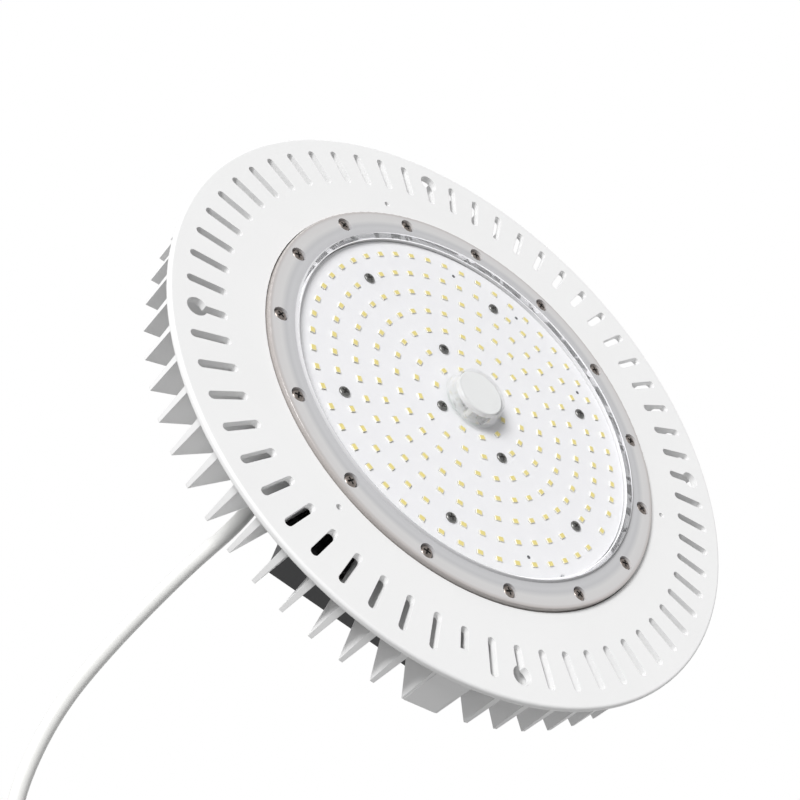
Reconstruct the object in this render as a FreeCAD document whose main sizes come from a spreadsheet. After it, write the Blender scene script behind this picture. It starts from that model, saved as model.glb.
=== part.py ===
"""High bay light: a finned white casting with a clear lens in front and its driver behind, in millimetres.

The origin is the centre of the flange's front face. +Z points to the back, +X to one of the four keyholes.
The driver, its tray and the terminal box are laid out on axes turned about Z by driver_turn.
"""
import FreeCAD, Part
import math
import os
import re
import Sketcher

Vector = FreeCAD.Vector
UP = Vector(0, 0, 1)

# name, value, what it is; lengths in millimetres, turns in degrees
SIZES = [
    ("flange_radius", 175, "outer edge of the casting"),
    ("flange_thickness", 4, "wall that the slots go through"),
    ("flange_round", 1.5, "round on the flange's outer edges"),
    ("recess_radius", 123.5, "seat of the lens in the casting"),
    ("recess_depth", 2.5, "depth of that seat"),
    ("base_thickness", 5, "wall behind the LED board"),
    ("base_radius", 136, "where the thick wall ends"),
    ("base_slope", 4, "width of the step to the thin flange"),
    ("hub_radius", 30, "solid hub behind the board"),
    ("hub_bore", 6, "wire way through the hub, radius"),
    ("slot_inner", 144.5, "inner end of the slots"),
    ("slot_outer", 166, "outer end of the slots"),
    ("slot_width", 4.4, "width of the slots"),
    ("slot_count", 60, "slots and fins all round"),
    ("slot_short_end", 157.4, "outer end of the short slot, where the block stands"),
    ("slot_short_turn", 192, "place of the short slot and the block"),
    ("block_width", 17.8, "block from fin to fin"),
    ("keyhole_count", 4, "keyholes"),
    ("keyhole_centre", 160.7, "centre of each keyhole's round end"),
    ("keyhole_radius", 5.3, "round end of a keyhole"),
    ("reflector_count", 3, "small tapped holes"),
    ("reflector_centre", 132, "circle of the small tapped holes, radius"),
    ("reflector_turn", 105, "first small hole"),
    ("reflector_hole", 1.6, "radius of a small hole"),
    ("reflector_depth", 6, "depth of a small hole"),
    ("fin_outer", 170, "outer edge of the fins"),
    ("fin_inner", 62, "inner end of every second fin; the others reach the hub"),
    ("fin_root", 3.9, "fin thickness at the wall"),
    ("fin_tip", 2.2, "fin thickness at its rear edge"),
    ("fin_height", 30.5, "from the flange's back to the rear edge"),
    ("fin_root_depth", 0.1, "fins into the flange"),
    ("fin_turn", 3, "first fin, midway between two slots"),
    ("fin_count", 60, "fins"),
    ("lens_screw_count", 15, "screws of the lens"),
    ("lens_screw_circle", 116, "their circle, radius"),
    ("lens_screw_turn", 12, "the first one"),
    ("lens_boss_radius", 3.9, "boss behind each lens screw"),
    ("lens_boss_height", 5, "above the thick wall"),
    ("groove_inner", 109, "sealing groove"),
    ("groove_width", 4, "sealing groove"),
    ("groove_depth", 1.2, "sealing groove"),
    ("lens_gap", 0.5, "lens to the wall of its seat"),
    ("lens_rim", 2.5, "rim in front of the flange"),
    ("lens_crown", 1.5, "face of the lens in front of its rim"),
    ("lens_wall", 2.5, "wall of the lens face"),
    ("lens_step", 108.3, "step between face and rim"),
    ("lens_skirt", 105.6, "inside of the rim"),
    ("lens_round", 0.8, "round on the rim's edge"),
    ("dome_radius", 14.8, "sensor dome at its front"),
    ("dome_foot", 16.3, "sensor dome at its foot"),
    ("dome_front", 6.4, "dome in front of the lens face"),
    ("dome_wall", 1.0, "wall of the dome"),
    ("dome_round", 1.2, "round on the dome's edge"),
    ("screw_hole", 2.2, "clearance hole, radius"),
    ("screw_radius", 2, "shank of the larger screws"),
    ("screw_head_radius", 3.5, "head of the larger screws"),
    ("screw_head_height", 2.3, "head of the larger screws"),
    ("screw_sink", 4.1, "counterbore for the head, radius"),
    ("screw_sink_depth", 2.6, "counterbore for the head"),
    ("lens_screw_length", 8, "shank of the lens screws"),
    ("cross_width", 0.9, "cross recess of the screws"),
    ("cross_depth", 1.2, "cross recess of the screws"),
    ("pad_radius", 104, "thermal pad"),
    ("pad_thickness", 0.3, "thermal pad"),
    ("board_radius", 105, "LED board"),
    ("board_thickness", 1.5, "LED board"),
    ("board_notch", 2, "key in the board's edge"),
    ("board_notch_turn", 156.8, "key in the board's edge"),
    ("chip_length", 3.4, "LED, along its ring"),
    ("chip_width", 2.7, "LED, along the radius"),
    ("chip_height", 0.7, "LED"),
    ("first_ring", 21.5, "radius of the innermost ring of LEDs"),
    ("ring_pitch", 12.5, "from ring to ring"),
    ("board_screw_radius", 1.5, "shank of the board screws"),
    ("board_screw_hole", 1.7, "clearance hole in the board"),
    ("board_screw_head", 3.1, "head of the board screws"),
    ("board_screw_height", 1.3, "head of the board screws"),
    ("board_screw_length", 5, "shank of the board screws"),
    ("shade_radius", 13.6, "sensor cover"),
    ("shade_height", 3, "sensor cover"),
    ("shade_wall", 1, "sensor cover"),
    ("shade_gap", 0.2, "sensor cover to the dome's face"),
    ("shade_round", 0.8, "round on the sensor cover"),
    ("sensor_board_thickness", 1, "sensor board"),
    ("post_radius", 1.5, "posts that carry the sensor"),
    ("post_circle", 9.6, "circle of the posts"),
    ("plug_length", 6.5, "connector on the LED board"),
    ("plug_width", 4.5, "connector on the LED board"),
    ("plug_height", 3, "connector on the LED board"),
    ("plug_centre", 10.6, "its distance from the axis"),
    ("plug_turn", 145, "its place"),
    ("wire_radius", 0.8, "small wires"),
    ("wire_pitch", 2.2, "between small wires"),
    ("led_wire_circle", 4.1, "wires of the LED board from the lamp's axis"),
    ("led_wire_turn", 24, "each side of the connector"),
    ("grommet_height", 9, "grommet in the rear of the hub"),
    ("driver_turn", 25, "driver's long axis"),
    ("driver_length", 249, "over both end caps"),
    ("driver_width", 96, "across"),
    ("driver_height", 23.5, "from tray to top"),
    ("driver_round", 3, "long edges of the driver"),
    ("case_wall", 2.5, "driver case"),
    ("cap_length", 7, "driver end caps"),
    ("cap_spigot", 9, "part of each end cap inside the case"),
    ("spigot_root", 1, "spigot run into its cap, so that the two join"),
    ("cap_screw_pitch", 36, "between the screws of a cap"),
    ("cap_screw_bite", 7, "cap screws in the cap"),
    ("foot_length", 16, "feet along the driver's sides"),
    ("foot_reach", 8, "feet beyond the driver's sides"),
    ("foot_height", 4, "feet"),
    ("foot_root", 3, "feet run into the case, so that the two join"),
    ("foot_pitch", 180, "between the two feet of a side"),
    ("tray_thickness", 2, "steel tray under the driver"),
    ("tray_length", 242, "steel tray"),
    ("tray_width", 114, "steel tray"),
    ("tray_round", 5, "corners of the tray"),
    ("tray_boss_radius", 5.5, "pillar under each tray screw"),
    ("tray_boss_span", 208, "between pillars along the driver"),
    ("tray_boss_pitch", 44, "between pillars across the driver"),
    ("tray_screw_length", 12, "shank of the tray screws"),
    ("tray_screw_spare", 0.5, "tray screws end short of their holes' ends"),
    ("tapping_spare", 1.5, "tapped holes beyond the ends of their screws"),
    ("circuit_board_gap", 3, "driver board above the case floor"),
    ("circuit_board_length", 190, "driver board"),
    ("circuit_board_margin", 2, "driver board to the case's side walls"),
    ("circuit_board_thickness", 1.6, "driver board"),
    ("standoff_radius", 3, "posts under the driver board"),
    ("transformer_size", 30, "transformer core, length and width"),
    ("transformer_height", 12, "transformer core"),
    ("choke_radius", 12, "choke"),
    ("choke_bore", 5, "choke"),
    ("choke_height", 10, "choke"),
    ("capacitor_radius", 6.25, "electrolytic capacitors"),
    ("capacitor_height", 12.5, "electrolytic capacitors"),
    ("capacitor_pitch", 16, "between capacitors"),
    ("spreader_length", 60, "heat spreader on the case wall"),
    ("spreader_width", 8, "heat spreader"),
    ("spreader_height", 11, "heat spreader"),
    ("transformer_along", -10, "transformer from the lamp's axis, along the driver"),
    ("transformer_across", 18, "transformer from the lamp's axis, across the driver"),
    ("choke_along", -62, "choke from the lamp's axis, along the driver"),
    ("capacitor_along", 48, "capacitors from the lamp's axis, along the driver"),
    ("terminal_length", 62, "terminal box, along the driver"),
    ("terminal_width", 30, "terminal box, across"),
    ("terminal_height", 27, "terminal box without its lid"),
    ("terminal_wall", 2.2, "terminal box"),
    ("terminal_end", 40, "end wall with the gland, from the lamp's axis"),
    ("terminal_gap", 3, "terminal box to the driver's side"),
    ("terminal_round", 3, "corners of the terminal box"),
    ("lid_thickness", 2.5, "lid of the terminal box"),
    ("lid_seal", 1, "seal under the lid"),
    ("lid_screw_inset", 5, "lid screws in from the box's long sides"),
    ("lid_screw_end", 11, "lid screws in from the box's ends"),
    ("lid_screw_bite", 8, "lid screws in their posts"),
    ("lid_opening", 24, "opening in the lid's seal, along the box"),
    ("lid_post_radius", 3, "posts for the lid screws"),
    ("bracket_length", 146, "steel bracket under the terminal box"),
    ("bracket_width", 22, "steel bracket under the terminal box"),
    ("bracket_end", 104, "bracket's end by the gland, from the lamp's axis"),
    ("bracket_screw_inset", 9, "bracket screws in from its ends"),
    ("bracket_gap", 2, "bracket to the tray"),
    ("block_length", 20, "terminal block"),
    ("block_depth", 16, "terminal block"),
    ("block_height", 13, "terminal block"),
    ("link_pitch", 5, "between the wires that link the block to the driver"),
    ("link_height", 10, "those wires above the tray"),
    ("link_hole", 1.1, "holes for those wires, radius"),
    ("link_length", 15, "those wires from the driver's inside to the block"),
    ("gland_height", 15.5, "gland's axis above the tray"),
    ("gland_thread", 8, "gland thread, radius"),
    ("gland_hex", 10, "gland, half across flats"),
    ("gland_collar", 6, "gland body outside the wall"),
    ("gland_nut_length", 22, "dome nut"),
    ("gland_dome", 9.6, "dome nut, radius"),
    ("gland_dome_end", 6.2, "dome nut's outer end, radius"),
    ("locknut_length", 4, "lock nut inside the box"),
    ("insert_length", 9, "rubber sealing insert"),
    ("insert_radius", 6.4, "rubber sealing insert"),
    ("lead_radius", 3.85, "mains lead"),
    ("lead_straight", 14, "lead straight out of the gland"),
    ("core_radius", 1.35, "insulated cores of the lead"),
    ("core_length", 40, "cores bared at the free end"),
    ("core_inside", 8, "cores from the sheath to the terminal block"),
    ("ferrule_radius", 0.95, "ferrules on the cores"),
    ("ferrule_length", 9, "ferrules on the cores"),
    ("gap", 0.3, "clearance between fitted pieces"),
]
ALIASES = {alias for alias, _, _ in SIZES}

# LED rings with even places: ring, places in it, turn of the first, places left free for screws
RINGS = [
    (2, 24, 4.8, ()),
    (3, 32, 4.9, ()),
    (4, 38, 6.3, ()),
    (5, 46, 5.6, (2, 9, 17, 25, 32, 40)),
    (6, 52, 0.2, (18, 19)),
]
# the two inner rings run between their screws: ring, turn of the first, LEDs, degrees from one to the next
CHIP_RUNS = [
    (0, 101, 4, 34.2), (0, 282.6, 4, 36.3), (1, 0.6, 8, 19.6), (1, 175.5, 8, 20.5),
]
EXTRA_CHIPS = [(6, 127.3)]  # ring and turn
# board screws: ring that each stands in and its turn
BOARD_SCREWS = [
    (0, 66), (0, 246), (1, 154), (1, 340.5),
    (5, 21.9), (5, 75.5), (5, 136.3), (5, 198.5), (5, 255), (5, 319.4),
]

# the lead's corners after its straight start out of the gland; the last point is the end of its sheath
LEAD_ROUTE = [
    (-66.8, -106.3, 61.6), (-86.5, -125.4, 75.0), (-107.5, -143.0, 88.2),
    (-128.7, -159.4, 101.0), (-150.0, -173.6, 113.0), (-171.6, -182.8, 124.0), (-194.6, -188.4, 133.2),
    (-219.5, -189.0, 136.8), (-242.5, -184.5, 127.5), (-257.5, -178.5, 108.5), (-260.5, -173.0, 83.5),
]

doc = FreeCAD.newDocument("high_bay_light")
sheet = doc.addObject("Spreadsheet::Sheet", "Sizes")
for row, (alias, value, meaning) in enumerate(SIZES, start=1):
    sheet.set(f"A{row}", alias)
    sheet.set(f"B{row}", str(value))
    sheet.set(f"C{row}", meaning)
    sheet.setAlias(f"B{row}", alias)
doc.recompute()

parts = []


def named(formula):
    """A formula over the aliases, written as the document reads it."""
    return re.sub(r"[a-z]+(_[a-z]+)*", lambda m: "Sizes." + m[0] if m[0] in ALIASES else m[0], str(formula))


def size(formula):
    """The number that a formula over the aliases gives."""
    return float(sheet.evalExpression(named(formula)))


def bind(item, prop, formula):
    item.setExpression(prop, named(formula))


def keep(item, label):
    """Mark an object as a sub-part; its label names its file."""
    item.Label = label
    parts.append(item)
    return item


def place(item, x="0", y="0", z="0", turned=False, half_turn=False):
    """Bind an object's place; turned puts it on the driver's axes."""
    if turned:
        turn = "driver_turn * 1 deg"
        bind(item, ".Placement.Base.x", f"({x}) * cos({turn}) - ({y}) * sin({turn})")
        bind(item, ".Placement.Base.y", f"({x}) * sin({turn}) + ({y}) * cos({turn})")
        bind(item, ".Placement.Rotation.Angle", "driver_turn + 180" if half_turn else "driver_turn")
    else:
        bind(item, ".Placement.Base.x", x)
        bind(item, ".Placement.Base.y", y)
    bind(item, ".Placement.Base.z", z)
    return item


def box(name, x, y, z, length, width, height, turned=True):
    """A box from its low corner."""
    solid = doc.addObject("Part::Box", name)
    bind(solid, "Length", length)
    bind(solid, "Width", width)
    bind(solid, "Height", height)
    return place(solid, x, y, z, turned)


def centred_box(name, x, y, z, length, width, height, turned=True):
    """A box centred on x and y that stands on z."""
    return box(name, f"({x}) - ({length}) / 2", f"({y}) - ({width}) / 2", z, length, width, height, turned)


def rod(name, x, y, z, radius, height, turned=True):
    """A cylinder along Z."""
    solid = doc.addObject("Part::Cylinder", name)
    bind(solid, "Radius", radius)
    bind(solid, "Height", height)
    return place(solid, x, y, z, turned)


def fuse(name, items):
    result = doc.addObject("Part::MultiFuse", name)
    result.Shapes = items
    return result


def cut(name, base, tools):
    result = doc.addObject("Part::Cut", name)
    result.Base = base
    result.Tool = tools[0] if len(tools) == 1 else fuse(name + "_tools", tools)
    return result


def rounded(name, base, radius, chosen):
    """Round the edges of a Part object that chosen picks."""
    doc.recompute()
    result = doc.addObject("Part::Fillet", name)
    result.Base = base
    measure = size(radius)
    result.Edges = [(i, measure, measure) for i, edge in enumerate(base.Shape.Edges, start=1) if chosen(edge)]
    return result


def upright(edge):
    return edge.Curve.TypeId == "Part::GeomLine" and abs(edge.tangentAt(edge.FirstParameter).z) > 0.99


def free_shape(name, solids):
    """A sub-part whose loose solids are placed by loops."""
    item = doc.addObject("Part::Feature", name)
    item.Shape = solids[0] if len(solids) == 1 else Part.makeCompound(solids)
    item.Placement = FreeCAD.Placement()
    return keep(item, name)


def new_body(name):
    return doc.addObject("PartDesign::Body", name)


def origin_feature(body, role):
    return next(item for item in body.Origin.OriginFeatures if item.Role == role)


def sketch_on(body, role, name):
    sketch = body.newObject("Sketcher::SketchObject", name)
    sketch.AttachmentSupport = [(origin_feature(body, role), "")]
    sketch.MapMode = "FlatFace"
    return sketch


def pin_point(sketch, geometry, point, x, y):
    """Hold a sketch point at two formulas, measured from the sketch's origin."""
    for kind, axis, formula in (("DistanceX", -2, x), ("DistanceY", -1, y)):
        if formula == "0":
            sketch.addConstraint(Sketcher.Constraint("PointOnObject", geometry, point, axis))
        else:
            number = sketch.addConstraint(Sketcher.Constraint(kind, -1, 1, geometry, point, size(formula)))
            bind(sketch, f"Constraints[{number}]", formula)


def outline(sketch, points):
    """A closed outline of straight edges through points given as formulas."""
    corners = [Vector(size(x), size(y), 0) for x, y in points]
    first = sketch.GeometryCount
    for start, end in zip(corners, corners[1:] + corners[:1]):
        sketch.addGeometry(Part.LineSegment(start, end))
    count = len(points)
    for i in range(count):
        sketch.addConstraint(Sketcher.Constraint("Coincident", first + i, 2, first + (i + 1) % count, 1))
    for i, (x, y) in enumerate(points):
        pin_point(sketch, first + i, 1, x, y)


def circle(sketch, x, y, radius):
    number = sketch.addGeometry(Part.Circle(Vector(size(x), size(y), 0), UP, size(radius)))
    pin_point(sketch, number, 3, x, y)
    bound = sketch.addConstraint(Sketcher.Constraint("Radius", number, size(radius)))
    bind(sketch, f"Constraints[{bound}]", radius)


def around(radius, turn):
    """A place on a circle about the origin, as two formulas."""
    return f"({radius}) * cos(({turn}) * 1 deg)", f"({radius}) * sin(({turn}) * 1 deg)"


def on_driver(x, y):
    """A place on the driver's axes, as two formulas in the lamp's frame."""
    turn = "driver_turn * 1 deg"
    return f"({x}) * cos({turn}) - ({y}) * sin({turn})", f"({x}) * sin({turn}) + ({y}) * cos({turn})"


def revolved(body, points, axis="V_Axis"):
    """Turn an outline on the XZ plane about one of that plane's axes."""
    sketch = sketch_on(body, "XZ_Plane", body.Name + "_section")
    outline(sketch, points)
    turn = body.newObject("PartDesign::Revolution", body.Name + "_turned")
    turn.Profile = sketch
    turn.ReferenceAxis = (sketch, [axis])
    turn.Angle = 360
    sketch.Visibility = False
    return turn


def pad(body, sketch, length, name):
    feature = body.newObject("PartDesign::Pad", name)
    feature.Profile = sketch
    bind(feature, "Length", length)
    feature.Refine = False
    return feature


def through(body, sketch, name):
    feature = body.newObject("PartDesign::Pocket", name)
    feature.Profile = sketch
    feature.Type = 1
    feature.Midplane = True
    feature.Refine = False
    return feature


def drilled(body, sketch, depth, name, backwards=False):
    """A pocket that goes towards +Z, or towards -Z if backwards."""
    feature = body.newObject("PartDesign::Pocket", name)
    feature.Profile = sketch
    feature.Reversed = not backwards
    feature.Refine = False
    bind(feature, "Length", depth)
    return feature


def ring_of(body, feature, count, name):
    """Repeat a feature all round the Z axis."""
    pattern = body.newObject("PartDesign::PolarPattern", name)
    pattern.Originals = [feature]
    pattern.Axis = (origin_feature(body, "Z_Axis"), [""])
    pattern.Angle = 360
    pattern.Refine = False
    bind(pattern, "Occurrences", count)
    body.Tip = pattern
    return pattern


def level(sketch, z):
    """Lift a sketch on the XY plane."""
    bind(sketch, ".AttachmentOffset.Base.z", z)


def radial_sketch(body, name, turn, distance):
    """A sketch across the radius at a turn: its x runs sideways, its y along Z."""
    sketch = sketch_on(body, "YZ_Plane", name)
    sketch.AttachmentOffset = FreeCAD.Placement(Vector(), FreeCAD.Rotation(Vector(0, 1, 0), size(turn)))
    bind(sketch, ".AttachmentOffset.Rotation.Angle", turn)
    bind(sketch, ".AttachmentOffset.Base.x", f"({distance}) * sin(({turn}) * 1 deg)")
    bind(sketch, ".AttachmentOffset.Base.z", f"({distance}) * cos(({turn}) * 1 deg)")
    return sketch


# heights that several pieces share
FIN_TOP = "flange_thickness + fin_height"
BASE_BACK = "recess_depth + base_thickness"
BOARD_BACK = "recess_depth - pad_thickness"
BOARD_FRONT = "recess_depth - pad_thickness - board_thickness"
CHIP_FRONT = "recess_depth - pad_thickness - board_thickness - chip_height"
LENS_FACE = "- lens_rim - lens_crown"
LENS_INSIDE = "lens_wall - lens_rim - lens_crown"
DOME_FACE = "- lens_rim - lens_crown - dome_front"
SHADE_FACE = "dome_wall + shade_gap - lens_rim - lens_crown - dome_front"
SHADE_BACK = "dome_wall + shade_gap + shade_height - lens_rim - lens_crown - dome_front"
TRAY_TOP = "flange_thickness + fin_height + tray_thickness"
CASE_FLOOR = "flange_thickness + fin_height + tray_thickness + case_wall"
CIRCUIT_TOP = CASE_FLOOR + " + circuit_board_gap + circuit_board_thickness"
TERMINAL_Y = "- driver_width / 2 - terminal_gap - terminal_width / 2"
TERMINAL_X = "terminal_length / 2 - terminal_end"
BRACKET_Y = "- tray_width / 2 - bracket_gap - bracket_width / 2"
GLAND_Z = "flange_thickness + fin_height + tray_thickness + gland_height"
GLAND_END = "- terminal_end - gland_collar - gland_nut_length"


def tray_screw_places():
    return [
        (f"{end} * tray_boss_span / 2", f"{side} * tray_boss_pitch / 2")
        for end in (-1, 1) for side in (-1, 1)
    ]


def bracket_screw_places():
    return [
        ("bracket_screw_inset - bracket_end", BRACKET_Y),
        ("bracket_length - bracket_screw_inset - bracket_end", BRACKET_Y),
    ]


def board_screw_places():
    return [around(f"first_ring + {ring} * ring_pitch", turn) for ring, turn in BOARD_SCREWS]


def heat_sink():
    """The casting: flange, lens seat, hub, fins, block and bosses in one piece."""
    body = new_body("heat_sink")
    revolved(body, [
        ("hub_bore", "recess_depth"),
        ("groove_inner", "recess_depth"),
        ("groove_inner", "recess_depth + groove_depth"),
        ("groove_inner + groove_width", "recess_depth + groove_depth"),
        ("groove_inner + groove_width", "recess_depth"),
        ("recess_radius", "recess_depth"),
        ("recess_radius", "0"),
        ("flange_radius", "0"),
        ("flange_radius", "flange_thickness"),
        ("base_radius + base_slope", "flange_thickness"),
        ("base_radius", BASE_BACK),
        ("hub_radius", BASE_BACK),
        ("hub_radius", FIN_TOP),
        ("hub_bore", FIN_TOP),
    ])
    doc.recompute()
    turned = body.Tip
    rim = [
        f"Edge{i}" for i, edge in enumerate(turned.Shape.Edges, start=1)
        if abs(edge.BoundBox.XMax - size("flange_radius")) < 0.01 and edge.BoundBox.ZLength < 0.01
    ]
    edges = body.newObject("PartDesign::Fillet", "flange_edges")
    edges.Base = (turned, rim)
    bind(edges, "Radius", "flange_round")

    slot = sketch_on(body, "XY_Plane", "slot_outline")
    slot_shape(slot)
    ring_of(body, through(body, slot, "slot"), "slot_count", "slots")
    keyhole = sketch_on(body, "XY_Plane", "keyhole_outline")
    circle(keyhole, "keyhole_centre", "0", "keyhole_radius")
    ring_of(body, through(body, keyhole, "keyhole"), "keyhole_count", "keyholes")
    small = sketch_on(body, "XY_Plane", "reflector_outline")
    circle(small, *around("reflector_centre", "reflector_turn"), "reflector_hole")
    drill = drilled(body, small, "reflector_depth", "reflector_hole")
    ring_of(body, drill, "reflector_count", "reflector_holes")

    boss = sketch_on(body, "XY_Plane", "lens_boss_outline")
    level(boss, BASE_BACK + " - 1")
    circle(boss, *around("lens_screw_circle", "lens_screw_turn"), "lens_boss_radius")
    ring_of(body, pad(body, boss, "lens_boss_height + 1", "lens_boss"), "lens_screw_count", "lens_bosses")
    tapped = sketch_on(body, "XY_Plane", "lens_tapping")
    circle(tapped, *around("lens_screw_circle", "lens_screw_turn"), "screw_radius")
    depth = BASE_BACK + " + lens_boss_height - 1.5"
    ring_of(body, drilled(body, tapped, depth, "lens_tapped"), "lens_screw_count", "lens_tapped_holes")

    plug = radial_sketch(body, "short_slot_section", "slot_short_turn", "slot_short_end")
    outline(plug, [
        ("- slot_width", "0"), ("slot_width", "0"),
        ("slot_width", "flange_thickness"), ("- slot_width", "flange_thickness"),
    ])
    pad(body, plug, "slot_outer + 1 - slot_short_end", "short_slot")
    block = radial_sketch(body, "block_section", "slot_short_turn", "slot_short_end")
    outline(block, [
        ("- block_width / 2", "flange_thickness - 1"),
        ("block_width / 2", "flange_thickness - 1"),
        ("block_width / 2", FIN_TOP),
        ("- block_width / 2", FIN_TOP),
    ])
    pad(body, block, "fin_outer - slot_short_end", "block")
    pillars = sketch_on(body, "XY_Plane", "tray_pillars")
    level(pillars, BASE_BACK + " - 1")
    for x, y in tray_screw_places() + bracket_screw_places():
        circle(pillars, *on_driver(x, y), "tray_boss_radius")
    pad(body, pillars, f"{FIN_TOP} + 1 - ({BASE_BACK})", "tray_pillar")

    for name, inner, turn in (
        ("long_fin", "hub_radius - 1", "fin_turn"),
        ("short_fin", "fin_inner", "fin_turn + 360 / fin_count"),
    ):
        section = radial_sketch(body, name + "_section", turn, inner)
        outline(section, [
            ("- fin_root / 2", "flange_thickness - fin_root_depth"),
            ("fin_root / 2", "flange_thickness - fin_root_depth"),
            ("fin_tip / 2", FIN_TOP),
            ("- fin_tip / 2", FIN_TOP),
        ])
        ring_of(body, pad(body, section, f"fin_outer - ({inner})", name), "fin_count / 2", name + "s")

    tapped = sketch_on(body, "XY_Plane", "tray_tapping")
    level(tapped, FIN_TOP)
    for x, y in tray_screw_places() + bracket_screw_places():
        circle(tapped, *on_driver(x, y), "screw_radius")
    drilled(body, tapped, "tray_screw_length", "tray_tapped", backwards=True)
    tapped = sketch_on(body, "XY_Plane", "board_tapping")
    level(tapped, "recess_depth")
    for x, y in board_screw_places():
        circle(tapped, x, y, "board_screw_radius")
    drilled(body, tapped, "base_thickness - 1", "board_tapped")
    return keep(body, "heat_sink")


def slot_shape(sketch):
    """A round-ended slot along X."""
    half = size("slot_width / 2")
    left, right = size("slot_inner + slot_width / 2"), size("slot_outer - slot_width / 2")
    near_end = Part.Circle(Vector(left, 0, 0), UP, half)
    far_end = Part.Circle(Vector(right, 0, 0), UP, half)
    sketch.addGeometry(Part.ArcOfCircle(near_end, math.pi / 2, 3 * math.pi / 2))
    sketch.addGeometry(Part.LineSegment(Vector(left, -half, 0), Vector(right, -half, 0)))
    sketch.addGeometry(Part.ArcOfCircle(far_end, -math.pi / 2, math.pi / 2))
    sketch.addGeometry(Part.LineSegment(Vector(right, half, 0), Vector(left, half, 0)))
    for first, end, second, start in ((0, 2, 1, 1), (1, 2, 2, 1), (2, 2, 3, 1), (3, 2, 0, 1)):
        sketch.addConstraint(Sketcher.Constraint("Tangent", first, end, second, start))
    pin_point(sketch, 0, 3, "slot_inner + slot_width / 2", "0")
    pin_point(sketch, 2, 3, "slot_outer - slot_width / 2", "0")
    number = sketch.addConstraint(Sketcher.Constraint("Radius", 0, half))
    bind(sketch, f"Constraints[{number}]", "slot_width / 2")


def lens():
    body = new_body("lens")
    rim = "recess_radius - lens_gap"
    revolved(body, [
        ("0", DOME_FACE + " + dome_wall"),
        ("dome_radius - dome_wall", DOME_FACE + " + dome_wall"),
        ("dome_foot - dome_wall", LENS_INSIDE),
        ("lens_skirt", LENS_INSIDE),
        ("lens_skirt", "recess_depth"),
        (rim, "recess_depth"),
        (rim, "- lens_rim"),
        ("lens_step", "- lens_rim"),
        ("lens_step - lens_crown / 2", LENS_FACE),
        ("dome_foot", LENS_FACE),
        ("dome_radius", DOME_FACE),
        ("0", DOME_FACE),
    ])
    for name, radius, edge_radius, height in (
        ("rim_edge", "lens_round", rim, "- lens_rim"),
        ("dome_edge", "dome_round", "dome_radius", DOME_FACE),
    ):
        doc.recompute()
        base = body.Tip
        chosen = [
            f"Edge{i}" for i, edge in enumerate(base.Shape.Edges, start=1)
            if abs(edge.BoundBox.XMax - size(edge_radius)) < 0.01
            and abs(edge.BoundBox.ZMax - size(height)) < 0.01 and edge.BoundBox.ZLength < 0.01
        ]
        edges = body.newObject("PartDesign::Fillet", name)
        edges.Base = (base, chosen)
        bind(edges, "Radius", radius)
    hole = sketch_on(body, "XY_Plane", "lens_hole_outline")
    circle(hole, *around("lens_screw_circle", "lens_screw_turn"), "screw_hole")
    ring_of(body, through(body, hole, "lens_hole"), "lens_screw_count", "lens_holes")
    sink = sketch_on(body, "XY_Plane", "lens_sink_outline")
    level(sink, "- lens_rim")
    circle(sink, *around("lens_screw_circle", "lens_screw_turn"), "screw_sink")
    ring_of(body, drilled(body, sink, "screw_sink_depth", "lens_sink"), "lens_screw_count", "lens_sinks")
    return keep(body, "lens")


def flat_ring(name, inner, outer, low, high):
    body = new_body(name)
    revolved(body, [(inner, low), (outer, low), (outer, high), (inner, high)])
    return keep(body, name)


def screw(shank, length, head, height):
    """A pan-head screw along Z with its head's seat at the origin, the head on the -Z side."""
    head_solid = Part.makeCylinder(head, height, Vector(0, 0, -height))
    face_edges = [e for e in head_solid.Edges if e.BoundBox.ZMax < -height / 2]
    head_solid = head_solid.makeFillet(height * 0.3, face_edges)
    width, depth = size("cross_width"), min(size("cross_depth"), height * 0.6)
    reach = head * 1.2
    for length_x, length_y in ((reach, width), (width, reach)):
        corner = Vector(-length_x / 2, -length_y / 2, -height)
        head_solid = head_solid.cut(Part.makeBox(length_x, length_y, depth, corner))
    return head_solid.fuse(Part.makeCylinder(shank, length))


def placed(shape, x, y, z, flipped=False, direction=None):
    """A copy of a shape at a place; flipped turns it over, direction turns its own -Z side that way."""
    rotation = FreeCAD.Rotation(Vector(1, 0, 0), 180) if flipped else FreeCAD.Rotation()
    if direction is not None:
        rotation = FreeCAD.Rotation(Vector(0, 0, -1), direction)
    copy = shape.copy()
    copy.Placement = FreeCAD.Placement(Vector(x, y, z), rotation)
    return copy


def polar(radius, turn):
    return radius * math.cos(math.radians(turn)), radius * math.sin(math.radians(turn))


def lens_screws():
    one = screw(*map(size, ("screw_radius", "lens_screw_length", "screw_head_radius", "screw_head_height")))
    count = round(size("lens_screw_count"))
    solids = []
    for i in range(count):
        x, y = polar(size("lens_screw_circle"), size("lens_screw_turn") + 360 * i / count)
        solids.append(placed(one, x, y, size("screw_sink_depth - lens_rim")))
    return free_shape("lens_screws", solids)


def led_board():
    body = new_body("led_board")
    sketch = sketch_on(body, "XY_Plane", "board_outline")
    level(sketch, BOARD_FRONT)
    circle(sketch, "0", "0", "board_radius")
    circle(sketch, "0", "0", "hub_bore")
    for x, y in board_screw_places():
        circle(sketch, x, y, "board_screw_hole")
    pad(body, sketch, "board_thickness", "board")
    notch = sketch_on(body, "XY_Plane", "notch_outline")
    circle(notch, *around("board_radius", "board_notch_turn"), "board_notch")
    through(body, notch, "notch")
    return keep(body, "led_board")


def thermal_pad():
    body = new_body("thermal_pad")
    sketch = sketch_on(body, "XY_Plane", "pad_outline")
    level(sketch, BOARD_BACK)
    circle(sketch, "0", "0", "pad_radius")
    circle(sketch, "0", "0", "hub_bore")
    for x, y in board_screw_places():
        circle(sketch, x, y, "board_screw_hole")
    pad(body, sketch, "pad_thickness", "pad")
    return keep(body, "thermal_pad")


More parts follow.
